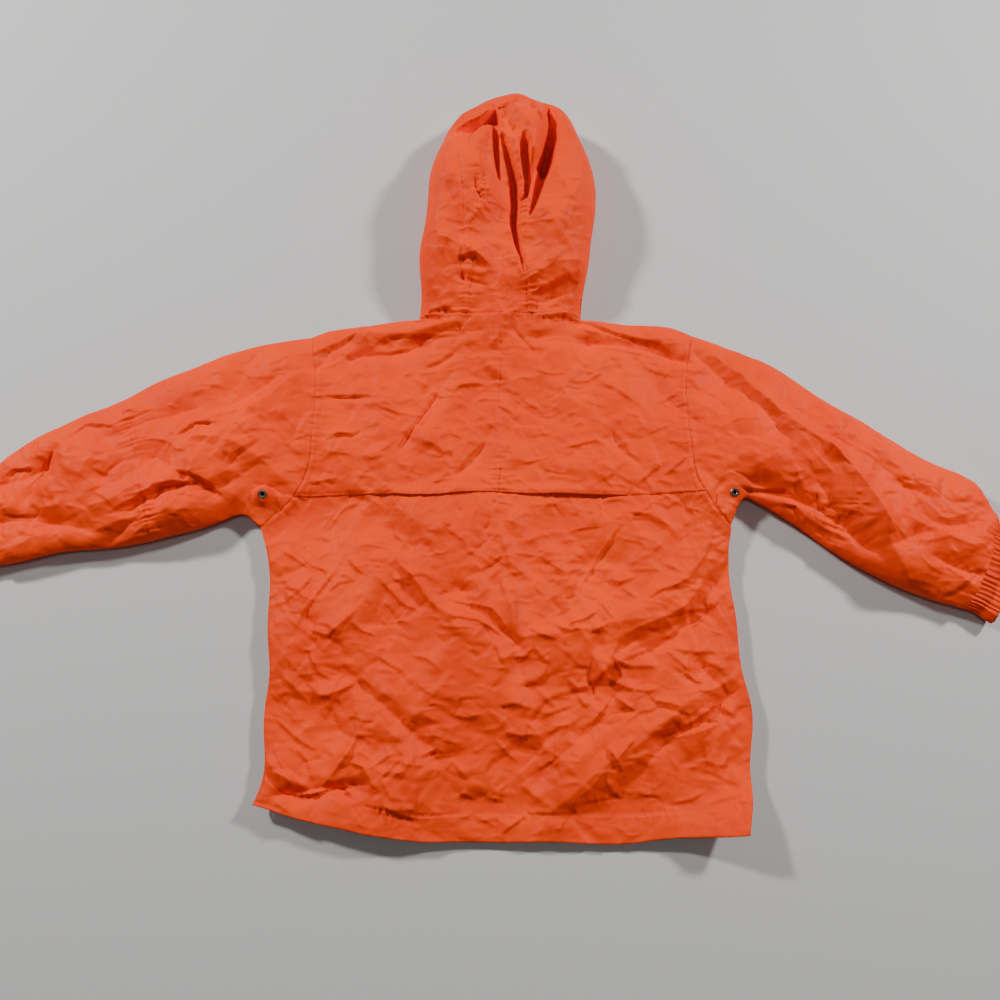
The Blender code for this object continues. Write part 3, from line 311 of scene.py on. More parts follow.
YOKE_CREASE_ROWS = {
    "A": [

    ],
    "B": [
        (188, 214, 150, 224, 98, 233), (98, 237, 60, 242, 44, 240), (-90, 233, -120, 226, -154, 220),
        (-29, 246, -60, 243, -90, 237), (-169, 217, -190, 210, -206, 205), (-17, 124, -33, 104, -48, 84),
        (150, 96, 139, 110, 127, 122), (178, 92, 162, 84, 150, 70), (153, 161, 131, 180, 113, 187),
        (196, 172, 176, 162), (141, 112, 127, 128), (203, 101, 178, 80),
        (121, 111, 105, 120, 90, 117, 65, 111), (46, 159, 35, 162, 29, 170), (17, 152, -1, 161),
        (202, 114, 189, 114, 180, 117), (124, 66, 112, 77), (-89, 149, -113, 152, -142, 164),
        (-46, 112, -61, 104, -72, 113, -87, 115), (-126, 100, -142, 98, -151, 103),
        (-12, 185, -27, 188, -45, 185, -53, 176), (-159, 128, -173, 128, -191, 123),
        (-176, 77, -202, 73, -214, 75), (-77, 138, -87, 143),
    ],
    "C": [
        (-103, 170, -150, 173, -205, 172), (46, 150, 28, 164, 7, 176), (48, 88, 40, 106, 31, 122),
        (120, 205, 96, 190, 70, 186), (-110, 120, -132, 104, -150, 100), (-170, 140, -182, 118, -186, 98),
        (92, 141, 80, 138), (49, 130, 43, 138), (193, 192, 178, 197, 157, 208), (190, 138, 159, 124),
        (70, 175, 60, 192), (164, 66, 155, 81), (28, 175, 17, 177, 4, 185), (-80, 185, -98, 193),
        (-113, 176, -134, 182, -146, 193), (-10, 135, -14, 138), (-115, 143, -133, 153),
        (-101, 199, -110, 196), (-52, 179, -65, 188),
    ],
}
# The creases of the hood: height, steep side, gentle side and the points.
HOOD_CREASE_ROWS = [
    (9, 3.2, 12, -7, 519, -24, 502, -37, 494, -54, 492), (5, 2.2, 7, 0, 518, -2, 499, -3, 479),
    (3, 1.6, 5, -51, 474, -38, 473, -25, 476, -12, 483), (4.5, 2, 5, 19, 458, 10, 469, -2, 479),
    (2.5, 1.8, 6, -10, 480, -16, 473, -21, 458, -22, 441, -25, 426, -26, 411),
    (2.6, 2, 6, -16, 388, -22, 376, -32, 367),
    (-2.6, 1.6, 6, -28, 331, -39, 368, -42, 401, -44, 430, -47, 466),
    (-1.8, 1.5, 5, -30, 368, -34, 397, -36, 430), (3, 2, 7, -12, 317, -28, 327, -48, 327),
    (-3.5, 3, 5, -35, 307, -40, 301, -46, 321, -48, 327), (2, 1.8, 6, -54, 360, -55, 339, -50, 329),
    (2.4, 2, 8, -47, 266, -58, 276, -79, 274, -84, 260), (5, 2.6, 10, 89, 315, 66, 303, 34, 288),
    (2.2, 1.6, 7, 72, 335, 56, 315), (2.2, 1.8, 5, 36, 518, 25, 507, 10, 503),
    (2.4, 1.8, 5, 39, 475, 40, 488, 30, 496, 23, 501), (2.2, 1.8, 5, 45, 473, 28, 469, 13, 465),
    (2.4, 1.8, 6, 51, 486, 41, 499, 32, 510), (-3, 3, 4, 13, 475, 19, 488, 4, 494),
    (3, 2, 6, 69, 494, 71, 507, 67, 518), (1.3, 1.5, 6, 96, 360, 70, 409, 61, 430),
    (1.2, 1.5, 5, 76, 356, 66, 380), (1.6, 1.6, 6, -68, 356, -75, 362, -84, 356),
    (1.4, 1.4, 6, -58, 317, -66, 345, -75, 388), (1.3, 1.2, 5, 13, 290, 2, 270, -12, 288),
    (1.2, 1.2, 5, 22, 286, 2, 268),
]
# Facets of the crumpled cloth: size, height, direction in degrees, stretch along it.
FACETS = [(62, 5.0, 42, 1.9), (31, 3.2, -40, 1.9), (15, 1.25, 36, 1.5), (8, 0.45, -55, 1.3)]
# Small random creases: seed, low and high corner, number in a square metre.
SCATTERS = [(3, (-610, -305), (580, 275), 3400), (4, (-110, 268), (125, 560), 3000)]
ZIGZAG_WAYS = [38, 142, 165, 95, 218, 322]
CREASE_REACH = 2.6    # how many gentle widths a crease reaches

# ------------------------------------------------------------------ sewing
HOOD_SEAM_LEFT = [
    (-35, 256), (-35, 293), (-30, 328), (-32, 365), (-16, 385), (-22, 415), (-22, 437), (-21, 454),
    (-10, 477),
]
HOOD_SEAM_RIGHT = [
    (33, 258), (31, 303), (27, 323), (23, 347), (24, 372), (24, 397), (26, 411), (22, 438), (14, 458),
    (-2, 479),
]
SEAM_WAVES = ((4.7, 0.6), (6.9, 0.8), (9.8, 0.7), (15.5, 0.6), (41, 0.5))     # length, share
STITCH_GROOVE = (0.55, 0.8)    # depth, half width
SEAM_GROOVE = (0.95, 0.9)
STITCH = (1.9, 0.5, 0.32)      # length, width, rise
STITCH_PITCH = 2.7
BUTTONHOLE = (-224, -241, 6.5, 2.6, 28, -32)    # x, y, half length, half width, stitches, turn in degrees
EYELET_HOLE = 2.6
EYELET_SEAT = (6, 13)          # radius of the flat cloth, and where it ends
EYELET_CALM = (8, 18)          # the same for the seams' uneven run

# ------------------------------------------------------------------ stage, in metres
CAMERA_PLACE = (0, -0.25, 1.053)
CAMERA_TILT = 16.3
LENS = 36
LIGHTS = (("light_left", (-1.5, 1.1, 1.35), 48, 0.22), ("light_right", (1.55, 0.95, 1.3), 44, 0.22),
          ("light_top", (0, -0.2, 2.2), 5, 0.4))
LIGHT_AIM = Vector((0, 0.1, 0))


# ------------------------------------------------------------------ curves and fields
def smooth_rows(rows, per_row):
    """A smooth curve through the rows of a table, with per_row points between two rows."""
    rows = np.array(rows, float)
    padded = np.vstack([2 * rows[0] - rows[1], rows, 2 * rows[-1] - rows[-2]])
    out = []
    for i in range(1, len(padded) - 2):
        a, b, c, d = padded[i - 1:i + 3]
        for k in range(per_row):
            t = k / per_row
            out.append(0.5 * (2 * b + (c - a) * t + (2 * a - 5 * b + 4 * c - d) * t * t
                              + (3 * b - a - 3 * c + d) * t ** 3))
    out.append(rows[-1])
    return np.array(out)


def smooth_step(value):
    t = np.clip(value, 0, 1)
    return t * t * (3 - 2 * t)


def mix(start, end, share):
    return start + (end - start) * share


def unit(vector):
    return vector / np.maximum(np.linalg.norm(vector, axis=-1), 1e-9)[..., None]


def along_curve(points, shares):
    """Points at shares of a curve's length."""
    points = np.array(points, float)
    steps = np.concatenate([[0], np.cumsum(np.linalg.norm(np.diff(points, axis=0), axis=1))])
    at = np.asarray(shares) * steps[-1]
    return np.stack([np.interp(at, steps, points[:, k]) for k in range(points.shape[1])], -1)


def curve_length(points):
    return np.linalg.norm(np.diff(np.array(points, float), axis=0), axis=1).sum()


def steps_for(length, spacing=GRID):
    return max(3, int(round(length / spacing)) + 1)


def column(rows, y, number):
    """A column of a table whose rows start with y."""
    rows = np.array(rows, float)
    return np.interp(y, rows[:, 0], rows[:, number])


def smooth_column(rows, y, number):
    return column(smooth_rows(rows, 8), y, number)


def lifted(plan, height):
    """The points of a plan at their heights."""
    return np.concatenate([plan, height[..., None]], -1)


def beside(points, x, y):
    """How far places lie to the left of a line, how far along it, and the line's length."""
    gap, side, place = np.full(x.shape, 1e9), np.zeros(x.shape), np.zeros(x.shape)
    start = 0.0
    for (x1, y1), (x2, y2) in zip(points[:-1], points[1:]):
        dx, dy = x2 - x1, y2 - y1
        length = max(math.hypot(dx, dy), 1e-6)
        px, py = x - x1, y - y1
        along = np.clip((px * dx + py * dy) / length, 0, length)
        away = np.hypot(px - along * dx / length, py - along * dy / length)
        near = away < gap
        gap = np.where(near, away, gap)
        side = np.where(near, dx * py - dy * px, side)
        place = np.where(near, start + along, place)
        start += length
    return np.where(side >= 0, gap, -gap), place, start


def near_rows(rows, x, y, spread=CREASE_REACH, margin=0.0):
    """Each row whose line comes near the places, which places are near it, and how they lie beside it."""
    corners = np.array([(x.min(), y.min()), (x.max(), y.max())])
    for row in rows:
        points, reach = row[-1], spread * row[-2] + margin
        low, high = points.min(0) - reach, points.max(0) + reach
        if (high < corners[0]).any() or (low > corners[1]).any():
            continue
        near = (x > low[0]) & (x < high[0]) & (y > low[1]) & (y < high[1])
        if near.any():
            yield row, near, beside(points, x[near], y[near])


def edge_rise(lines, x, y, turn):
    """How far the cloth has risen from its turned sides: 0 on a line, and 1 further in than the turn."""
    rise = np.ones_like(x)
    for line in lines:
        gap = np.abs(beside(line, x, y)[0])
        left = 1 - np.clip(np.where(gap < 0.3, 0, gap) / turn, 0, 1)
        rise = rise * np.sqrt(1 - left * left)
    return rise


def by_fold(row, x, y):
    """A straight fold's length, and the places' share along it, way beyond its ends and way across it."""
    x1, y1, x2, y2 = row[:4]
    length = math.hypot(x2 - x1, y2 - y1)
    ux, uy = (x2 - x1) / length, (y2 - y1) / length
    along = ((x - x1) * ux + (y - y1) * uy) / length
    beyond = np.maximum(0, np.abs(along - 0.5) - 0.5) * length
    return length, along, beyond, (x - x1) * -uy + (y - y1) * ux


def fold_height(rows, x, y):
    """Folds with a crisp crest: each bows a little, and dies out at its ends."""
    total = np.zeros_like(x)
    for number, row in enumerate(rows):
        half, height = row[4:]
        length, along, beyond, across = by_fold(row, x, y)
        bow = (FOLD_BOW if number % 2 else -FOLD_BOW) * length * (1 - (2 * along - 1) ** 2)
        across = across + np.where(np.abs(along - 0.5) < 0.5, bow, 0)
        narrow = half * (1 - 0.35 * np.clip(np.abs(along - 0.5) * 2, 0, 1))
        profile = (1 - FOLD_CRISP) * np.exp(-(across / narrow) ** 2)
        profile += FOLD_CRISP * np.exp(-np.abs(across) / (0.6 * narrow))
        total += height * profile * np.exp(-(beyond / half) ** 2)
    return total


def step_height(rows, x, y):
    """Sharp steps: the cloth is high on the left of each line and low on its right."""
    total = np.zeros_like(x)
    for row in rows:
        reach, height = row[4:]
        _, _, beyond, across = by_fold(row, x, y)
        fade = np.exp(-np.abs(across) / reach - (beyond / STEP_FADE) ** 2)
        total += height * np.tanh(across / STEP_WIDTH) * fade
    return total


# ------------------------------------------------------------------ crumpled cloth
class Facets:
    """Flat facets with sharp creases between them: random heights at random points, joined by triangles."""

    def __init__(self, low, high, size, height, seed, angle, stretch):
        draw = np.random.default_rng(seed)
        c, s = math.cos(angle), math.sin(angle)
        self.turn = np.array([[c / stretch, -s], [s / stretch, c]])
        corners = np.array([(x, y) for x in (low[0], high[0]) for y in (low[1], high[1])]) @ self.turn
        a, b = corners.min(0) - 2 * size, corners.max(0) + 2 * size
        xs, ys = np.arange(a[0], b[0], size), np.arange(a[1], b[1], size)
        spots = np.stack(np.meshgrid(xs, ys, indexing="ij"), -1).reshape(-1, 2)
        spots = spots + draw.uniform(-0.48, 0.48, spots.shape) * size
        heights = draw.normal(size=len(spots)) * height
        verts, _, faces, origins, _, _ = delaunay_2d_cdt([Vector(p) for p in spots], [], [], 0, 1e-5)
        points = [(v.x, v.y, heights[origins[k][0]]) for k, v in enumerate(verts)]
        self.tree = BVHTree.FromPolygons(points, faces)

    def height(self, x, y):
        flat = np.stack([np.ravel(x), np.ravel(y)], -1) @ self.turn
        out = np.zeros(len(flat))
        for k, (u, v) in enumerate(flat):
            hit = self.tree.ray_cast(Vector((u, v, ABOVE)), DOWN)[0]
            if hit is not None:
                out[k] = hit.z
        return out.reshape(np.shape(x))


class Warp:
    """Smooth random drift of the plan, so that creases bend."""

    def __init__(self, seed, reach, size):
        draw = np.random.default_rng(seed)
        self.waves = [(draw.uniform(0, 2 * math.pi), draw.normal(size=2) / size, draw.normal(size=2) * reach)
                      for _ in range(8)]

    def __call__(self, x, y):
        dx, dy = np.zeros_like(x), np.zeros_like(x)
        for phase, wave, push in self.waves:
            value = np.sin(x * wave[0] + y * wave[1] + phase)
            dx += value * push[0] / 3
            dy += value * push[1] / 3
        return x + dx, y + dy


WARP = Warp(5, 9, 30)
DRIFT = Warp(9, 1.7, 24)
CRUMPLE = [Facets((-620, -330), (600, 600), size, height, 40 + k, math.radians(angle), stretch)
           for k, (size, height, angle, stretch) in enumerate(FACETS)]


def facet_height(x, y):
    wx, wy = WARP(x, y)
    return sum(facets.height(wx, wy) for facets in CRUMPLE)


def fading(place, length, start, share):
    """1 along a line, and down to 0 towards its ends."""
    run = share * length
    return smooth_step((place + start) / run) * smooth_step((length - place + start) / run)


def crease_height(rows, x, y):
    """Creases with a sharp crest, steep on one side and gentle on the other, that die out at their ends."""
    total = np.zeros_like(x)
    for (height, steep, gentle, _), near, (side, place, length) in near_rows(rows, x, y):
        ends = fading(place, length, 1.5, 0.35)
        wide = np.where(side > 0, steep, gentle) * (0.45 + 0.55 * ends)
        total[near] += height * ends * np.exp(-np.abs(side) / wide)
    return total


def drop_height(rows, x, y):
    """Overhanging folds: the cloth drops sharply on each line's right and comes back beyond the hollow."""
    total = np.zeros_like(x)
    for (depth, steep, reach, _), near, (side, place, length) in near_rows(rows, x, y):
        ends = fading(place, length, 1, 0.3)
        total[near] -= depth * ends * smooth_step(-side / steep) * np.exp(-(side / reach) ** 2)
    return total


def line_points(numbers):
    return np.array(numbers, float).reshape(-1, 2)


def with_points(rows):
    return [row[:3] + (line_points(row[3:]),) for row in rows]


def hand_creases(table):
    return [CREASE_KINDS[kind] + (line_points(line),) for kind, lines in table.items() for line in lines]


def scatter_creases(seed, low, high, per_area):
    """Small random creases that run on from each other in zigzags, mostly on the two diagonals."""
    draw = np.random.default_rng(seed)
    rows = []
    for _ in range(int((high[0] - low[0]) * (high[1] - low[1]) * per_area * MM * MM)):
        spot = np.array([draw.uniform(low[0], high[0]), draw.uniform(low[1], high[1])])
        way = math.radians(draw.choice(ZIGZAG_WAYS) + draw.normal() * 14)
        line = [spot]
        for _ in range(draw.integers(1, 4)):
            length = 7 + 9 * abs(draw.normal()) ** 1.3
            spot = spot + length * np.array([math.cos(way), math.sin(way)])
            line.append(spot)
            way += draw.choice([-1, 1]) * math.radians(draw.uniform(12, 70))
        size = min(curve_length(line), 60)
        rise = (0.36 + 0.027 * size) * draw.uniform(0.5, 1.3) * draw.choice([1, 1, -1])
        steep = draw.uniform(1.0, 1.7)
        rows.append((rise, steep, steep + draw.uniform(0.06, 0.16) * size, np.array(line)))
    return rows


# ------------------------------------------------------------------ form of the body
def curl(x, y):
    total = np.zeros_like(x)
    for cx, cy, reach, height in CURLS:
        total += height * smooth_step(1 - np.hypot(x - cx, y - cy) / reach) ** 1.3
    return total


def crown(x, y):
    weight_sum, total = np.zeros_like(x), np.zeros_like(x)
    for sx, sy, height in CROWN_SPOTS:
        weight = np.exp(-((x - sx) ** 2 + (y - sy) ** 2) / SPOT_REACH ** 2) + 1e-9
        weight_sum += weight
        total += weight * height
    return total / weight_sum


def sleeveness(x):
    return smooth_step((np.abs(x) - BODY_SIDE) / SLEEVE_FADE)


def edge_height(x):
    near_neck = smooth_step(1 - np.abs(x) / NECK_EDGE_REACH)
    return mix(BODY_EDGE, SLEEVE_EDGE, sleeveness(x)) + NECK_EDGE * near_neck


def extended(points, length=60):
    head = unit(points[0] - points[1]) * length + points[0]
    tail = unit(points[-1] - points[-2]) * length + points[-1]
    return np.vstack([head, points, tail])


def make_fold_lines():
    """The lines where the cloth turns under: each side with its sleeve's lower edge, and each upper edge."""
    lines = []
    for first, sign, sleeve in ((0, -1, SLEEVE_LEFT), (2, 1, SLEEVE_RIGHT)):
        lower = [row[first:first + 2] for row in SIDES[:-1]] + [row[2:4] for row in sleeve]
        upper = [row[:2] for row in sleeve[::-1]] + [(sign * x, y) for x, y in SHOULDER[1:]]
        lines += [extended(smooth_rows(lower, 4)), extended(smooth_rows(upper, 4))[:-1]]
    return lines


FOLD_LINES = make_fold_lines()


def soft_floor(height, least):
    """Keeps a height above a least one, with a smooth bottom."""
    over = height - least
    low = FLOOR_BLEND * np.exp(np.minimum(over / FLOOR_BLEND - 1, 0))
    return least + np.where(over > FLOOR_BLEND, over, low)


def body_top(x, y):
    edge = edge_height(x)
    rise = edge_rise(FOLD_LINES, x, y, mix(BODY_TURN, SLEEVE_TURN, sleeveness(x)))
    height = edge + (crown(x, y) - edge) * rise + fold_height(FOLDS, x, y) * rise ** 0.7 + curl(x, y)
    return soft_floor(height + step_height(STEPS, x, y), LEAST_TOP), rise


def body_under(plan):
    x, y = plan[..., 0], plan[..., 1]
    turn = mix(BODY_UNDER_TURN, SLEEVE_UNDER_TURN, sleeveness(x))
    return edge_height(x) * (1 - edge_rise(FOLD_LINES, x, y, turn)) + curl(x, y)


# ------------------------------------------------------------------ sewn lines and eyelets
class Seam:
    """A sewn line: stitch rows at distances to its left, a strip of turned-in cloth there, and puckers."""

    def __init__(self, points, rows, strip, pucker, reach, seed):
        self.points, self.rows, self.strip = np.array(points, float), rows, strip
        self.pucker, self.reach = pucker, reach
        draw = np.random.default_rng(seed)
        self.waves = [(2 * math.pi / size, draw.uniform(0, 6.28), share) for size, share in SEAM_WAVES]

    def height(self, x, y):
        total = np.zeros_like(x)
        for _, near, (side, place, length) in near_rows([(self.reach, self.points)], x, y, 3.2, 10):
            side = np.where((place > 0.01) & (place < length - 0.01), side, 1e3)
            wave = sum(share * np.sin(place * k + phase) for k, phase, share in self.waves)
            first, last, lift = self.strip
            away = np.maximum(0, np.maximum(first - side, side - last))
            rise = lift * (smooth_step((side - first + 0.8) / 1.2) * smooth_step((last + 0.8 - side) / 1.2))
            uneven = 0.55 + 0.45 * np.sin(place * 0.049 + 1)
            rise += self.pucker * wave * np.exp(-away / self.reach) * uneven
            for row, (depth, half) in [(row, STITCH_GROOVE) for row in self.rows] + [(0, SEAM_GROOVE)]:
                rise -= depth * np.exp(-((side - row) / half) ** 2)
            total[near] = rise
        return total


def eyelet_seats():
    """The middle of each eyelet and the way that it faces."""
    seats = []
    for name in ("eyelet_left", "eyelet_right"):
        spots = np.array([corner.co[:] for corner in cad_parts[name].data.vertices]) / MM
        middle = spots.mean(0)
        facing = np.linalg.svd(spots - middle)[2][2]
        seats.append((middle, facing * np.sign(facing[2])))
    return seats


SEATS = eyelet_seats()


def eyelet_gap(x, y):
    """How far places lie from the middle of the nearest eyelet."""
    return np.minimum(*[np.hypot(x - middle[0], y - middle[1]) for middle, _ in SEATS])


def seated(x, y, height):
    """Lays the cloth flat under each eyelet."""
    inner, outer = EYELET_SEAT
    for middle, facing in SEATS:
        gap = np.hypot(x - middle[0], y - middle[1])
        flat = middle[2] - 0.35 - ((x - middle[0]) * facing[0] + (y - middle[1]) * facing[1]) / facing[2]
        share = smooth_step((outer - gap) / (outer - inner))
        height = height * (1 - share) + flat * share
    return height


def drifted(points):
    """The uneven run of edges and seams."""
    x, y = points[..., 0], points[..., 1]
    inner, outer = EYELET_CALM
    share = 1 - smooth_step((outer - eyelet_gap(x, y)) / (outer - inner))
    out = points.copy()
    out[..., :2] += (np.stack(DRIFT(x, y), -1) - points[..., :2]) * share[..., None]
    return out


CASING_LINE = np.array([(x, y + CASING) for x, y in HEM], float)
SMALL_CREASES = [row for scatter in SCATTERS for row in scatter_creases(*scatter)]
BACK_CREASES, YOKE_CREASES = hand_creases(CREASES), hand_creases(YOKE_CREASE_ROWS)
HOOD_CREASES = with_points(HOOD_CREASE_ROWS)
BODY_OVERHANGS, HOOD_OVERHANGS = with_points(BODY_DROPS), with_points(HOOD_DROPS)


def liveliness(x, y):
    """How crumpled the cloth is: most on the back panel, least in the hem's casing and the yoke."""
    share = 1.0 - 0.25 * smooth_step((y - 55) / 12) * (1 - sleeveness(x))
    return share - 0.45 * smooth_step((2 - beside(CASING_LINE, x, y)[0]) / 4) * (y < -150)


def dress(x, y, height, rise, seams, hand=(), drops=BODY_OVERHANGS):
    """The cloth's relief on its form: facets, creases, puckered seams, and flat seats for the eyelets."""
    calm = rise ** 0.6 * liveliness(x, y)
    height = height + calm * (facet_height(x, y) + crease_height(SMALL_CREASES, x, y))
    height = height + rise ** 0.4 * crease_height(hand, x, y) + rise ** 0.5 * drop_height(drops, x, y)
    for seam in seams:
        height = height + seam.height(x, y) * rise ** 0.3
    return seated(x, y, soft_floor(height, LEAST_DRESSED))


# ------------------------------------------------------------------ meshes
def grid_faces(rows, cols, wrap):
    row, col = np.meshgrid(np.arange(rows - 1), np.arange(cols if wrap else cols - 1), indexing="ij")
    after = (col + 1) % cols
    quads = [row * cols + col, row * cols + after, (row + 1) * cols + after, (row + 1) * cols + col]
    return np.stack(quads, -1).reshape(-1, 4)


def add_piece(name, points, faces, material):
    mesh = bpy.data.meshes.new(name)
    flat_points = (points.reshape(-1, 3) * MM).astype(np.float32)
    mesh.vertices.add(len(flat_points))
    mesh.vertices.foreach_set("co", flat_points.ravel())
    mesh.loops.add(faces.size)
    mesh.loops.foreach_set("vertex_index", faces.ravel().astype(np.int32))
    mesh.polygons.add(len(faces))
    mesh.polygons.foreach_set("loop_start", np.arange(0, faces.size, faces.shape[1], dtype=np.int32))
    mesh.update(calc_edges=True)
    mesh.validate()
    mesh.shade_smooth()
    mesh.materials.append(material)
    thing = bpy.data.objects.new(name, mesh)
    bpy.context.scene.collection.objects.link(thing)
    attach(thing, "root")
    return thing


def turned_edge(points, down=-1, back=4.0):
    """Adds a turned-in hem before the first row: round the edge, then back inside."""
    edge, inner = points[0], points[1]
    out = unit(edge - inner)
    inside = np.array([0, 0, down * CLOTH])
    rows = [edge - out * back + inside * 2.2, edge - out * 0.3 + inside * 2.0, edge + out * 0.35 + inside]
    return np.concatenate([np.array(rows), points], 0)


def add_cloth(name, points, node, wrap=False, flip=False, holed=False):
    points = drifted(points)
    faces = grid_faces(*points.shape[:2], wrap)
    if flip:
        faces = faces[:, ::-1]
    if holed:
        middle = points.reshape(-1, 3)[faces].mean(1)
        faces = faces[eyelet_gap(middle[:, 0], middle[:, 1]) >= EYELET_HOLE]
    thing = add_piece(name, points, faces, CLOTH_MATERIAL)
    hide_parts(node)
    return thing


# ------------------------------------------------------------------ materials
def new_material(name, inputs):
    material = bpy.data.materials.new(name)
    material.use_nodes = True
    shader = material.node_tree.nodes["Principled BSDF"]
    for key, value in inputs.items():
        shader.inputs[key].default_value = value
    return material, shader


def add_node(tree, kind, inputs, **settings):
    node = tree.nodes.new("ShaderNode" + kind)
    for key, value in settings.items():
        setattr(node, key, value)
    for key, value in inputs.items():
        node.inputs[key].default_value = value
    return node


def join(tree, *links):
    """Links nodes, each link as a node, its output, a node and its input."""
    for start, output, end, entry in links:
        tree.links.new(start.outputs[output], end.inputs[entry])


def tone(material, shader, noise, dark, light, span=(0, 1)):
    """Lets a surface's colour wander between a dark and a light tone. Returns the coordinates' node."""
    tree = material.node_tree
    coords = add_node(tree, "TexCoord", {})
    blotch = add_node(tree, "TexNoise", noise)
    ramp = add_node(tree, "ValToRGB", {})
    for element, place, color in zip(ramp.color_ramp.elements, span, (dark, light)):
        element.position = place
        element.color = color + (1,)
    join(tree, (coords, "Object", blotch, "Vector"), (blotch, "Fac", ramp, "Fac"),
         (ramp, "Color", shader, "Base Color"))
    return coords


def make_cloth_material():
    material, shader = new_material("shell_cloth", {"Roughness": 0.55, "Specular IOR Level": 0.1})
    tree = material.node_tree
    coords = tone(material, shader, {"Scale": 14, "Detail": 5}, (0.82, 0.040, 0.0004), (0.91, 0.056, 0.0006),
                  (0.3, 0.7))
    turn = add_node(tree, "Mapping", {"Rotation": (0, 0, math.radians(38)), "Scale": (1, 1.7, 1)})
    crinkle = add_node(tree, "TexNoise", {"Scale": 38, "Detail": 5, "Roughness": 0.55, "Distortion": 0.6},
                       noise_type="RIDGED_MULTIFRACTAL")
    fine = add_node(tree, "TexNoise", {"Scale": 260, "Detail": 6})
    warp, weft = [add_node(tree, "TexWave", {"Scale": 650}, wave_type="BANDS", bands_direction=way)
                  for way in "XY"]
    weave = add_node(tree, "Math", {}, operation="MAXIMUM")
    crinkle_bump, fine_bump, weave_bump = [
        add_node(tree, "Bump", {"Strength": strength, "Distance": distance})
        for strength, distance in ((0.8, 0.0035), (0.35, 0.0006), (0.12, 0.0002))]
    join(tree, (coords, "Object", turn, "Vector"), (turn, "Vector", crinkle, "Vector"),
         (crinkle, "Fac", crinkle_bump, "Height"), (crinkle_bump, "Normal", fine_bump, "Normal"),
         (coords, "Object", fine, "Vector"), (fine, "Fac", fine_bump, "Height"),
         (coords, "Object", warp, "Vector"), (coords, "Object", weft, "Vector"),
         (warp, "Fac", weave, 0), (weft, "Fac", weave, 1), (weave, "Value", weave_bump, "Height"),
         (fine_bump, "Normal", weave_bump, "Normal"), (weave_bump, "Normal", shader, "Normal"))
    return material


def make_thread_material():
    material, shader = new_material("stitch_thread", {"Roughness": 0.6})
    tone(material, shader, {"Scale": 500}, (0.55, 0.016, 0.001), (0.85, 0.045, 0.003))
    return material


def make_metal_material():
    material, shader = new_material("eyelet_metal", {"Metallic": 1.0, "Roughness": 0.32})
    tone(material, shader, {"Scale": 900}, (0.16, 0.12, 0.09), (0.42, 0.34, 0.27))
    return material


CLOTH_MATERIAL = make_cloth_material()
METAL_MATERIAL = make_metal_material()
THREAD_MATERIAL = make_thread_material()


# ------------------------------------------------------------------ body panels
def armhole_curve(side):
    """The armhole seam from the underarm up to the shoulder; side is 1 for the left and 2 for the right."""
    underarm = SIDES[-1][2 * side - 2:2 * side]
    return smooth_rows([underarm] + [(row[side], row[0]) for row in ARMHOLE], 12)


def body_rows(spacing=GRID):
    """Rows across the body, from the hem up: left x and y, right x and y, share of the hem's sag."""
    sides = along_curve(smooth_rows(SIDES, 16), np.linspace(0, 1, steps_for(SIDE_LENGTH, spacing)))
    rows = [(lx, ly, rx, ry, max(0, 1 - (ly - HEM[0][1]) / HEM_FADE)) for lx, ly, rx, ry in sides]
    left, right = armhole_curve(1), armhole_curve(2)
    first = ARMHOLE[0][0]
    for y in np.linspace(first, TOP_Y, steps_for(TOP_Y - first, spacing)):
        rows.append((np.interp(y, left[:, 1], left[:, 0]), y, np.interp(y, right[:, 1], right[:, 0]), y, 0))
    return np.array(rows)


def body_plan(rows, shares, top=None):
    """Places on rows of the body, at shares of its width. The upper rows bend towards the line in top."""
    hem = np.array(HEM, float)
    lx, ly, rx, ry, hem_share = rows.T[..., None]
    u = shares[None, :]
    sag = np.interp(mix(hem[0, 0], hem[-1, 0], u), hem[:, 0], hem[:, 1]) - mix(hem[0, 1], hem[-1, 1], u)
    y = mix(ly, ry, u) + sag * hem_share
    x = mix(lx, rx, u)
    if top is not None:
        lift = np.clip((ly - YOKE_Y) / (TOP_Y - YOKE_Y), 0, 1)
        y = y + (top - TOP_Y) * lift
        inside = mix(np.interp(y, rows[:, 1], rows[:, 0]), np.interp(y, rows[:, 3], rows[:, 2]), u)
        x = np.where((u > 0) & (u < 1) & (ly > YOKE_Y), inside, x)
    return np.stack([np.broadcast_to(x, y.shape), y], -1)


def top_shares(x):
    return np.clip((x - TOP_LEFT) / (TOP_RIGHT - TOP_LEFT), 0, 1)


def shoulder_y(x):
    table = np.array(SHOULDER[::-1], float)
    return np.interp(np.abs(x), table[:, 0], table[:, 1])


def make_back():
    rows = body_rows()
    plan = body_plan(rows[rows[:, 1] <= YOKE_LAP_Y + 1], np.linspace(0, 1, steps_for(BODY_WIDTH)))
    x, y = plan[..., 0], plan[..., 1]
    left, right = VENT
    vent = smooth_step((x - left) / VENT_FADE) * smooth_step((right - x) / VENT_FADE)
    dip = vent * smooth_step((y - YOKE_Y + 6) / (YOKE_LAP_Y - YOKE_Y))
    beneath = smooth_step((y - YOKE_Y + 1) / 4)
    height = dress(x, y, *body_top(x, y), [CASING_SEAM] + ARMHOLE_SEAMS, BACK_CREASES)
    height = height + CLEAR - VENT_DIP * dip - LAP_STEP * beneath
    return add_cloth("back_cloth", turned_edge(lifted(plan, height)), "back_lower")


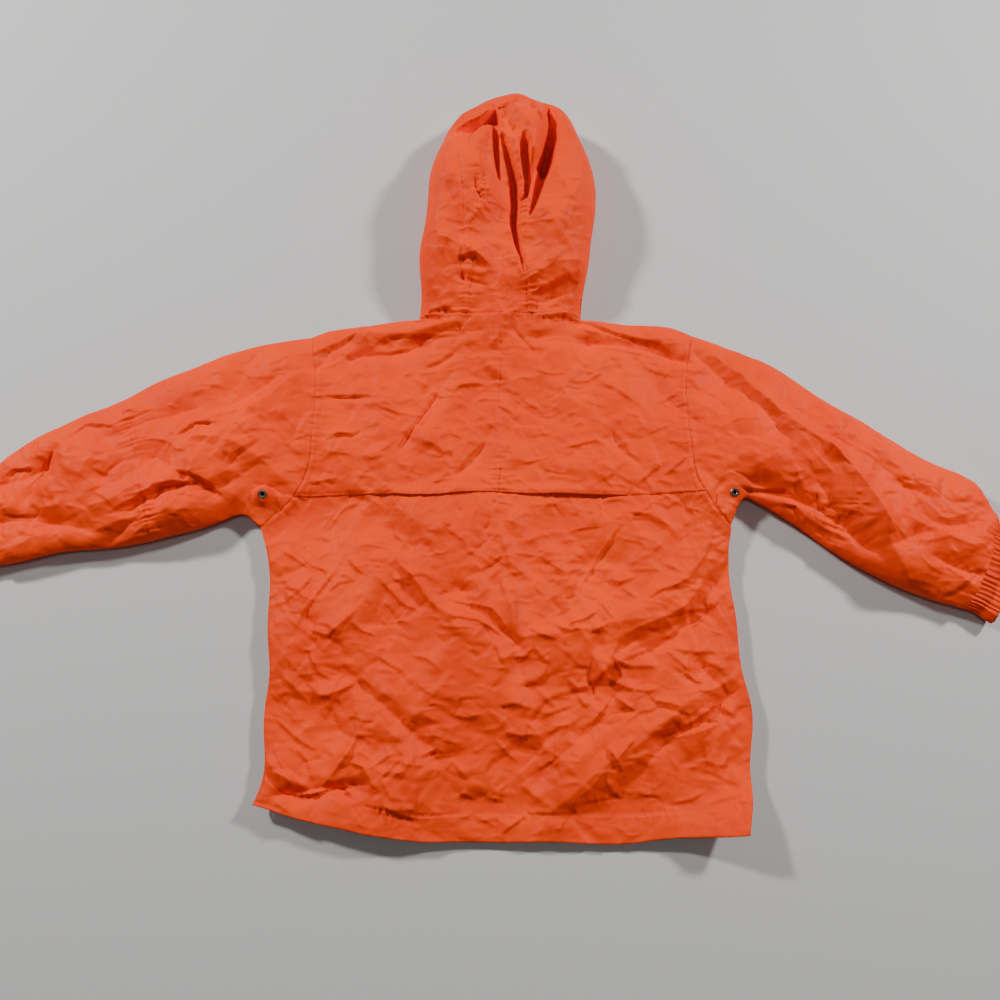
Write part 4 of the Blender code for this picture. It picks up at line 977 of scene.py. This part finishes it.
def make_yoke(node, ends):
    """The half of the yoke between two x at its top."""
    rows = body_rows()
    x_top = np.linspace(*ends, steps_for(ends[1] - ends[0]))
    plan = body_plan(rows[rows[:, 1] >= YOKE_Y - 1], top_shares(x_top), shoulder_y(x_top))
    plan[:, -ends.index(0), 0] = 0
    x, y = plan[..., 0], plan[..., 1]
    lap = 1 - smooth_step((y - YOKE_LAP_Y) / LAP_FADE)
    lift = sum(most * np.exp(-((x - middle) / half) ** 2) for middle, half, most in VENT_GAPS)
    free = (0.5 + lift) * smooth_step((YOKE_Y + VENT_RUN - y) / VENT_RUN)
    height = dress(x, y, *body_top(x, y), [VENT_SEAM, BACK_SEAM, NECK_SEAM] + ARMHOLE_SEAMS, YOKE_CREASES)
    height = height + CLEAR + LAP_STEP * lap + free
    return add_cloth(node + "_cloth", turned_edge(lifted(plan, height)), node)


def make_front():
    x_top = np.linspace(TOP_LEFT, TOP_RIGHT, 88)
    reach = (NECK_HALF - np.abs(x_top)) / (NECK_HALF - FRONT_NECK_HALF)
    top = shoulder_y(x_top) - FRONT_NECK_DROP * np.clip(reach, 0, 1)
    plan = body_plan(body_rows(FRONT_GRID), top_shares(x_top), top)
    points = turned_edge(lifted(plan, body_under(plan)), down=1)
    return add_cloth("front_cloth", points, "front_body", flip=True)


# ------------------------------------------------------------------ sleeves
def sleeve_section(table, position):
    """A row of a sleeve's table at a position between its rows."""
    dense = smooth_rows(table, 20)
    at = position * 20
    return np.array([np.interp(at, np.arange(len(dense)), dense[:, k]) for k in range(5)])


def sleeve_line(table, side, position, shares):
    """Places across the sleeve, bowed, and nearer to the armhole's seam the closer they lie to it."""
    seam = along_curve(armhole_curve(side)[::-1], shares)
    section, first = sleeve_section(table, position), sleeve_section(table, 0)
    upper, lower, bow = section[:2], section[2:4], section[4]
    chord = lower - upper
    toward_body = unit(np.array([-chord[1], chord[0]])) * (1 if side == 1 else -1)
    start = seam - mix(first[:2], first[2:4], shares[:, None])
    fade = 1 - smooth_step(position / ARMHOLE_FADE)
    straight = upper + chord * shares[:, None]
    return straight + start * fade + toward_body * (bow * 4 * shares * (1 - shares))[:, None]


def make_sleeve_part(node, table, side, start, end):
    rows = np.array(table, float)
    upper, lower = rows[:, :2], rows[:, 2:4]
    positions = np.linspace(start, end, steps_for(curve_length(((upper + lower) / 2)[start:end + 1])))
    width = math.hypot(*(upper - lower)[start])
    over_shares = np.linspace(0, 1, steps_for(width))
    under_shares = np.linspace(1, 0, steps_for(width, UNDER_GRID))[1:-1]
    over, under = [np.array([sleeve_line(table, side, position, shares) for position in positions])
                   for shares in (over_shares, under_shares)]
    x, y = over[..., 0], over[..., 1]
    height = dress(x, y, *body_top(x, y), ARMHOLE_SEAMS + ELBOW_SEAMS + CUFF_SEAMS)
    edge = edge_height(x) + curl(x, y)
    height[:, 0], height[:, -1] = edge[:, 0], edge[:, -1]
    points = np.concatenate([lifted(over, height), lifted(under, body_under(under))], 1)
    return add_cloth(node + "_cloth", points, node, wrap=True, flip=side == 1, holed=True)


def make_cuff(node, table):
    """A short tube of gathers, narrow in its middle and wider at its mouth."""
    count = CUFF_GATHERS * GATHER_POINTS
    angle = np.arange(count) * 2 * math.pi / count
    cos, sin = np.cos(angle), np.sin(angle)
    bulge = np.abs(sin) ** 0.75
    shares = np.linspace(0, 1, CUFF_RINGS)
    draw = np.random.default_rng(CUFF_GATHERS)
    wander = np.cumsum(draw.normal(size=(CUFF_RINGS, CUFF_GATHERS)) * 0.22, axis=0).repeat(GATHER_POINTS, 1)
    strong = draw.uniform(0.45, 1.05, CUFF_GATHERS).repeat(GATHER_POINTS)
    rings = []
    for share, drift in zip(shares, wander):
        section = sleeve_section(table, CUFF_ROW + share)
        upper, lower = section[:2], section[2:4]
        across = unit(lower - upper)
        swell = share - CUFF_WAIST * math.sin(math.pi * min(1, share * 1.4))
        half = np.linalg.norm(lower - upper) / 2 - 2 + swell
        plan = (upper + lower) / 2 - across * (cos * half)[:, None]
        z_over = CUFF_EDGE + (CUFF_HEIGHT + swell - CUFF_EDGE) * bulge
        z_under = CUFF_EDGE - (CUFF_EDGE - GATHER_RISE) * bulge
        away = unit(np.stack([-across[0] * cos, -across[1] * cos, 3.0 * sin], -1))
        gather = GATHER_RISE * strong * (0.5 + 0.5 * np.cos(angle * CUFF_GATHERS + drift))
        rings.append(lifted(plan, np.where(sin >= 0, z_over, z_under)) + away * gather[:, None])
    rings = np.array(rings)
    rings[..., 2] = np.maximum(rings[..., 2], 0.2)
    rings = turned_edge(rings[::-1])[::-1]
    rings[..., 2] = np.maximum(rings[..., 2], 0.1)
    return add_cloth(node + "_cloth", rings, node, wrap=True, flip=table is SLEEVE_LEFT)


# ------------------------------------------------------------------ hood
def crown_bow(share):
    """The bow of the crown's edge, fuller on its right."""
    return 4 * share * (1 - share) * (0.4 + 1.2 * share)


def make_hood_line():
    """The line where the hood turns under: up its left side, along the crown's edge, down its right side."""
    share = np.linspace(0, 1, 9)[:-1, None]
    arc = mix(np.array(CROWN_LEFT, float), np.array(CROWN_RIGHT, float), share)
    arc = arc + np.array([0, CROWN_BULGE]) * crown_bow(share)
    return np.vstack([HOOD_SIDES[0][:-1], arc, HOOD_SIDES[1][::-1]])


HOOD_SIDES = [smooth_rows([(row[side], row[0]) for row in HOOD] + [corner], 6)
              for side, corner in ((1, CROWN_LEFT), (2, CROWN_RIGHT))]
HOOD_LINE = make_hood_line()


def hood_valley(x, y):
    middle, depth, half = [smooth_column(VALLEY, y, k) for k in (1, 2, 3)]
    total = -VALLEY_SHARE * depth * np.exp(-np.abs((x - middle) / (half * 1.25)) ** 2.0)
    for rows in GROOVES:
        middle, depth, half = [column(rows, y, k) for k in (1, 2, 3)]
        inside = (y > rows[0][0]) & (y < rows[-1][0])
        total = total - np.where(inside, depth, 0) * np.exp(-np.abs((x - middle) / half) ** 3)
    return total


def hood_top(x, y):
    wide, tall = smooth_column(HOOD, y, 3), smooth_column(HOOD, y, 4)
    blend = smooth_step((y - NECK_Y) / HOOD_BLEND)
    rise = edge_rise([HOOD_LINE], x, y, mix(BODY_TURN, HOOD_TURN, blend))
    height = mix(wide, tall, rise) + (fold_height(HOOD_FOLDS, x, y) + hood_valley(x, y)) * rise
    neck_height, _ = body_top(x, np.full_like(y, NECK_Y - 0.15))
    return neck_height * (1 - blend) + height * blend + CLEAR * (1 - blend), rise


def dressed_hood(plan, edge):
    """The hood's points over a plan, with those that edge picks at the height of its turned side."""
    x, y = plan[..., 0], plan[..., 1]
    height = dress(x, y, *hood_top(x, y), HOOD_SEAMS + [NECK_SEAM], HOOD_CREASES, HOOD_OVERHANGS)
    height[edge] = smooth_column(HOOD, y[edge], 3)
    return lifted(plan, height)


def hood_under(plan):
    x, y = plan[..., 0], plan[..., 1]
    return lifted(plan, smooth_column(HOOD, y, 3) * (1 - edge_rise([HOOD_LINE], x, y, HOOD_UNDER_TURN)))


def hood_seam(side):
    """The gusset's seam, evenly from the neck up; side is 1 for the left and 2 for the right."""
    seam = smooth_rows([(row[side], row[0]) for row in GUSSET], 6)
    return along_curve(seam, np.linspace(0, 1, steps_for(HOOD_LENGTH)))


def make_hood_side(node, side):
    seam = hood_seam(side)[:, None]
    face = smooth_rows(FACE_EDGE, 6)
    if side == 2:
        face = face * np.array([-1, 1]) + np.array([14, 0]) * smooth_step((face[:, 1:] - 250) / 200)
    shares = np.linspace(0, 1, len(seam))
    edge, face = [along_curve(line, shares)[:, None] for line in (HOOD_SIDES[side - 1], face)]
    # The rows lie closer together where the cloth turns steeply.
    over = mix(edge, seam, np.linspace(0, 1, steps_for(80))[:, None] ** 1.25)
    under = mix(face, edge, np.linspace(0, 1, 14)[:-1, None])
    points = np.concatenate([hood_under(under), dressed_hood(over, (slice(None), 0))], 1)
    points = turned_edge(points.transpose(1, 0, 2), down=1).transpose(1, 0, 2)
    return add_cloth(node + "_cloth", points, node, flip=side == 2)


def make_hood_center():
    tail = np.linspace(0, 1, steps_for(44))[1:, None]
    left, right = [np.vstack([seam, mix(seam[-1], np.array(corner), tail)])
                   for seam, corner in ((hood_seam(1), CROWN_LEFT), (hood_seam(2), CROWN_RIGHT))]
    across = np.linspace(0, 1, steps_for(66))[:, None]
    plan = mix(left[:, None], right[:, None], across)
    near = smooth_step((np.arange(len(left)) - (len(left) - 22)) / 21)[:, None]
    plan[..., 1] += CROWN_BULGE * near * crown_bow(across)[:, 0]
    under = plan[::-1][1:20:3]
    points = np.concatenate([dressed_hood(plan, -1), hood_under(under)], 0)
    return add_cloth("hood_center_cloth", points, "hood_center")


# ------------------------------------------------------------------ stitches
def tops(pieces):
    """What a look straight down meets first, over all the pieces."""
    points, faces = [], []
    for thing in pieces:
        mesh = thing.data
        spots = np.empty(len(mesh.vertices) * 3, np.float32)
        mesh.vertices.foreach_get("co", spots)
        corners = np.empty(len(mesh.loops), np.int32)
        mesh.loops.foreach_get("vertex_index", corners)
        faces += (corners.reshape(-1, 4) + len(points)).tolist()
        points += (spots.reshape(-1, 3) / MM).tolist()
    return BVHTree.FromPolygons(points, faces)


def stitch_mesh(spots, ways):
    length, width, rise = STITCH
    up = np.array([0, 0, 1.0])
    side = unit(np.cross(up, ways))
    corners = np.stack([spots - ways * length / 2, spots + side * width / 2, spots + ways * length / 2,
                        spots - side * width / 2, spots + up * rise, spots - up * 0.4], 1)
    ring = np.array([(0, 3), (3, 2), (2, 1), (1, 0)])
    faces = np.array([(a, b, 4) for a, b in ring] + [(b, a, 5) for a, b in ring])
    base = np.arange(len(spots))[:, None, None] * 6
    return corners.reshape(-1, 3), (faces[None] + base).reshape(-1, 3)


def make_stitches(name, rows, pieces):
    """Lays a stitch at each spot of the rows, on the cloth below it."""
    tree = tops(pieces)
    spots, ways = [], []
    for row in rows:
        flat = drifted(row)
        for (x, y), (dx, dy) in zip(flat, np.gradient(flat, axis=0)):
            size = math.hypot(dx, dy)
            hits = [tree.ray_cast(Vector((x + s * dx / size, y + s * dy / size, ABOVE)), DOWN)[0]
                    for s in (-0.9, 0, 0.9)]
            if None not in hits:
                spots.append(hits[1])
                ways.append(hits[2] - hits[0])
    points, faces = stitch_mesh(np.array(spots, float), unit(np.array(ways, float)))
    return add_piece(name, points, faces, THREAD_MATERIAL)


def seam_rows(seam):
    dense = along_curve(seam.points, np.linspace(0, 1, 1 + int(curve_length(seam.points) / STITCH_PITCH)))
    way = unit(np.gradient(dense, axis=0))
    left = np.stack([-way[:, 1], way[:, 0]], -1)
    return [dense[1:-1] + left[1:-1] * row for row in seam.rows]


def buttonhole_row():
    x, y, long, wide, count, turn = BUTTONHOLE
    angle = np.arange(count) * 2 * math.pi / count
    u, v = long * np.cos(angle), wide * np.sin(angle)
    c, s = math.cos(math.radians(turn)), math.sin(math.radians(turn))
    return np.stack([x + u * c - v * s, y + u * s + v * c], -1)


# ------------------------------------------------------------------ stage
def make_stage():
    scene = bpy.context.scene
    bpy.ops.mesh.primitive_plane_add(size=8, location=(0, 0, -0.0005))
    floor = bpy.context.object
    floor.name = "floor"
    material, _ = new_material("floor_pale", {"Base Color": (0.52, 0.51, 0.50, 1), "Roughness": 0.9})
    floor.data.materials.append(material)
    scene.world = bpy.data.worlds.new("soft")
    scene.world.use_nodes = True
    background = scene.world.node_tree.nodes["Background"]
    background.inputs["Color"].default_value = (1, 1, 1, 1)
    background.inputs["Strength"].default_value = 0.08
    for name, place, energy, size in LIGHTS:
        light = bpy.data.lights.new(name, "AREA")
        light.energy = energy
        light.size = size
        lamp = bpy.data.objects.new(name, light)
        lamp.location = place
        lamp.rotation_euler = (LIGHT_AIM - Vector(place)).to_track_quat("-Z", "Y").to_euler()
        scene.collection.objects.link(lamp)
    camera_data = bpy.data.cameras.new("camera")
    camera_data.lens = LENS
    camera_data.sensor_width = LENS
    camera = bpy.data.objects.new("camera", camera_data)
    camera.location = CAMERA_PLACE
    camera.rotation_euler = (math.radians(CAMERA_TILT), 0, 0)
    scene.collection.objects.link(camera)
    scene.camera = camera


# Seams: the line, its stitch rows, its strip (from, to, lift), the puckers' height and reach, the seed.
ARMHOLE_SEAMS = [Seam(armhole_curve(1), (-1.4, -6.4), (-7.2, -0.6, 0.7), 0.46, 7, 21),
                 Seam(armhole_curve(2), (1.4, 6.4), (0.6, 7.2, 0.7), 0.46, 7, 22)]
BACK_SEAM = Seam([(0, YOKE_Y), (0, 160), (0, NECK_Y)], (1.2, 6.8), (0.4, 7.6, 0.7), 0.56, 7, 23)
VENT_SEAM = Seam([(-234, 61), (-151, 60), (0, 60), (131, 60), (226, 57)],
                 (1.6, 5.2), (0, 5.8, 0.3), 0.40, 6, 24)
NECK_SEAM = Seam([(-92, 265), (-45, 268), (0, 268), (45, 268), (93, 265)],
                 (-2.0,), (-3, 0, 0.6), 0.75, 10, 25)
CASING_SEAM = Seam(CASING_LINE[2:], (0,), (-3, 0, 0.3), 0.85, 7, 26)
ELBOWS = ([(-418, 160), (-398, 122), (-390, 94), (-385, 73), (-368, -2)],
          [(416, 136), (396, 110), (380, 90), (373, 74), (367, 40), (357, 16), (346, -14)])
ELBOW_SEAMS = [Seam(line, (1.2, 6.0), (0, 7, 0.7), 0.8, 10, 27 + k) for k, line in enumerate(ELBOWS)]
CUFF_SEAMS = [Seam([(-563, 84), (-532, -22)], (1.5,), (-1, 2, 0.3), 0.9, 16, 29),
              Seam([(534, 40), (486, -70)], (1.5,), (-2, 1, 0.3), 0.9, 16, 30)]
HOOD_SEAMS = [Seam(HOOD_SEAM_LEFT, (1.2, 7.0), (0.4, 8.0, 1.2), 0.8, 7, 31),
              Seam(HOOD_SEAM_RIGHT, (-1.2, -7.0), (-8.0, -0.4, 1.2), 0.8, 7, 32)]
SEAMS = (ARMHOLE_SEAMS + [BACK_SEAM, VENT_SEAM, NECK_SEAM, CASING_SEAM] + ELBOW_SEAMS + CUFF_SEAMS
         + HOOD_SEAMS)

make_stage()
FRONT, BACK = make_front(), make_back()
YOKES = [make_yoke("yoke_left", (TOP_LEFT, 0)), make_yoke("yoke_right", (0, TOP_RIGHT))]
SLEEVES = [make_sleeve_part("sleeve_left_upper", SLEEVE_LEFT, 1, 0, ELBOW_ROW),
           make_sleeve_part("sleeve_left_lower", SLEEVE_LEFT, 1, ELBOW_ROW, CUFF_ROW),
           make_sleeve_part("sleeve_right_upper", SLEEVE_RIGHT, 2, 0, ELBOW_ROW),
           make_sleeve_part("sleeve_right_lower", SLEEVE_RIGHT, 2, ELBOW_ROW, CUFF_ROW)]
CUFFS = [make_cuff("cuff_left", SLEEVE_LEFT), make_cuff("cuff_right", SLEEVE_RIGHT)]
HOOD_PARTS = [make_hood_side("hood_left", 1), make_hood_side("hood_right", 2), make_hood_center()]
make_stitches("stitches", [row for seam in SEAMS for row in seam_rows(seam)] + [buttonhole_row()],
              [BACK] + YOKES + SLEEVES + HOOD_PARTS)

for eyelet in ("eyelet_left", "eyelet_right"):
    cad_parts[eyelet].data.materials.clear()
    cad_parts[eyelet].data.materials.append(METAL_MATERIAL)
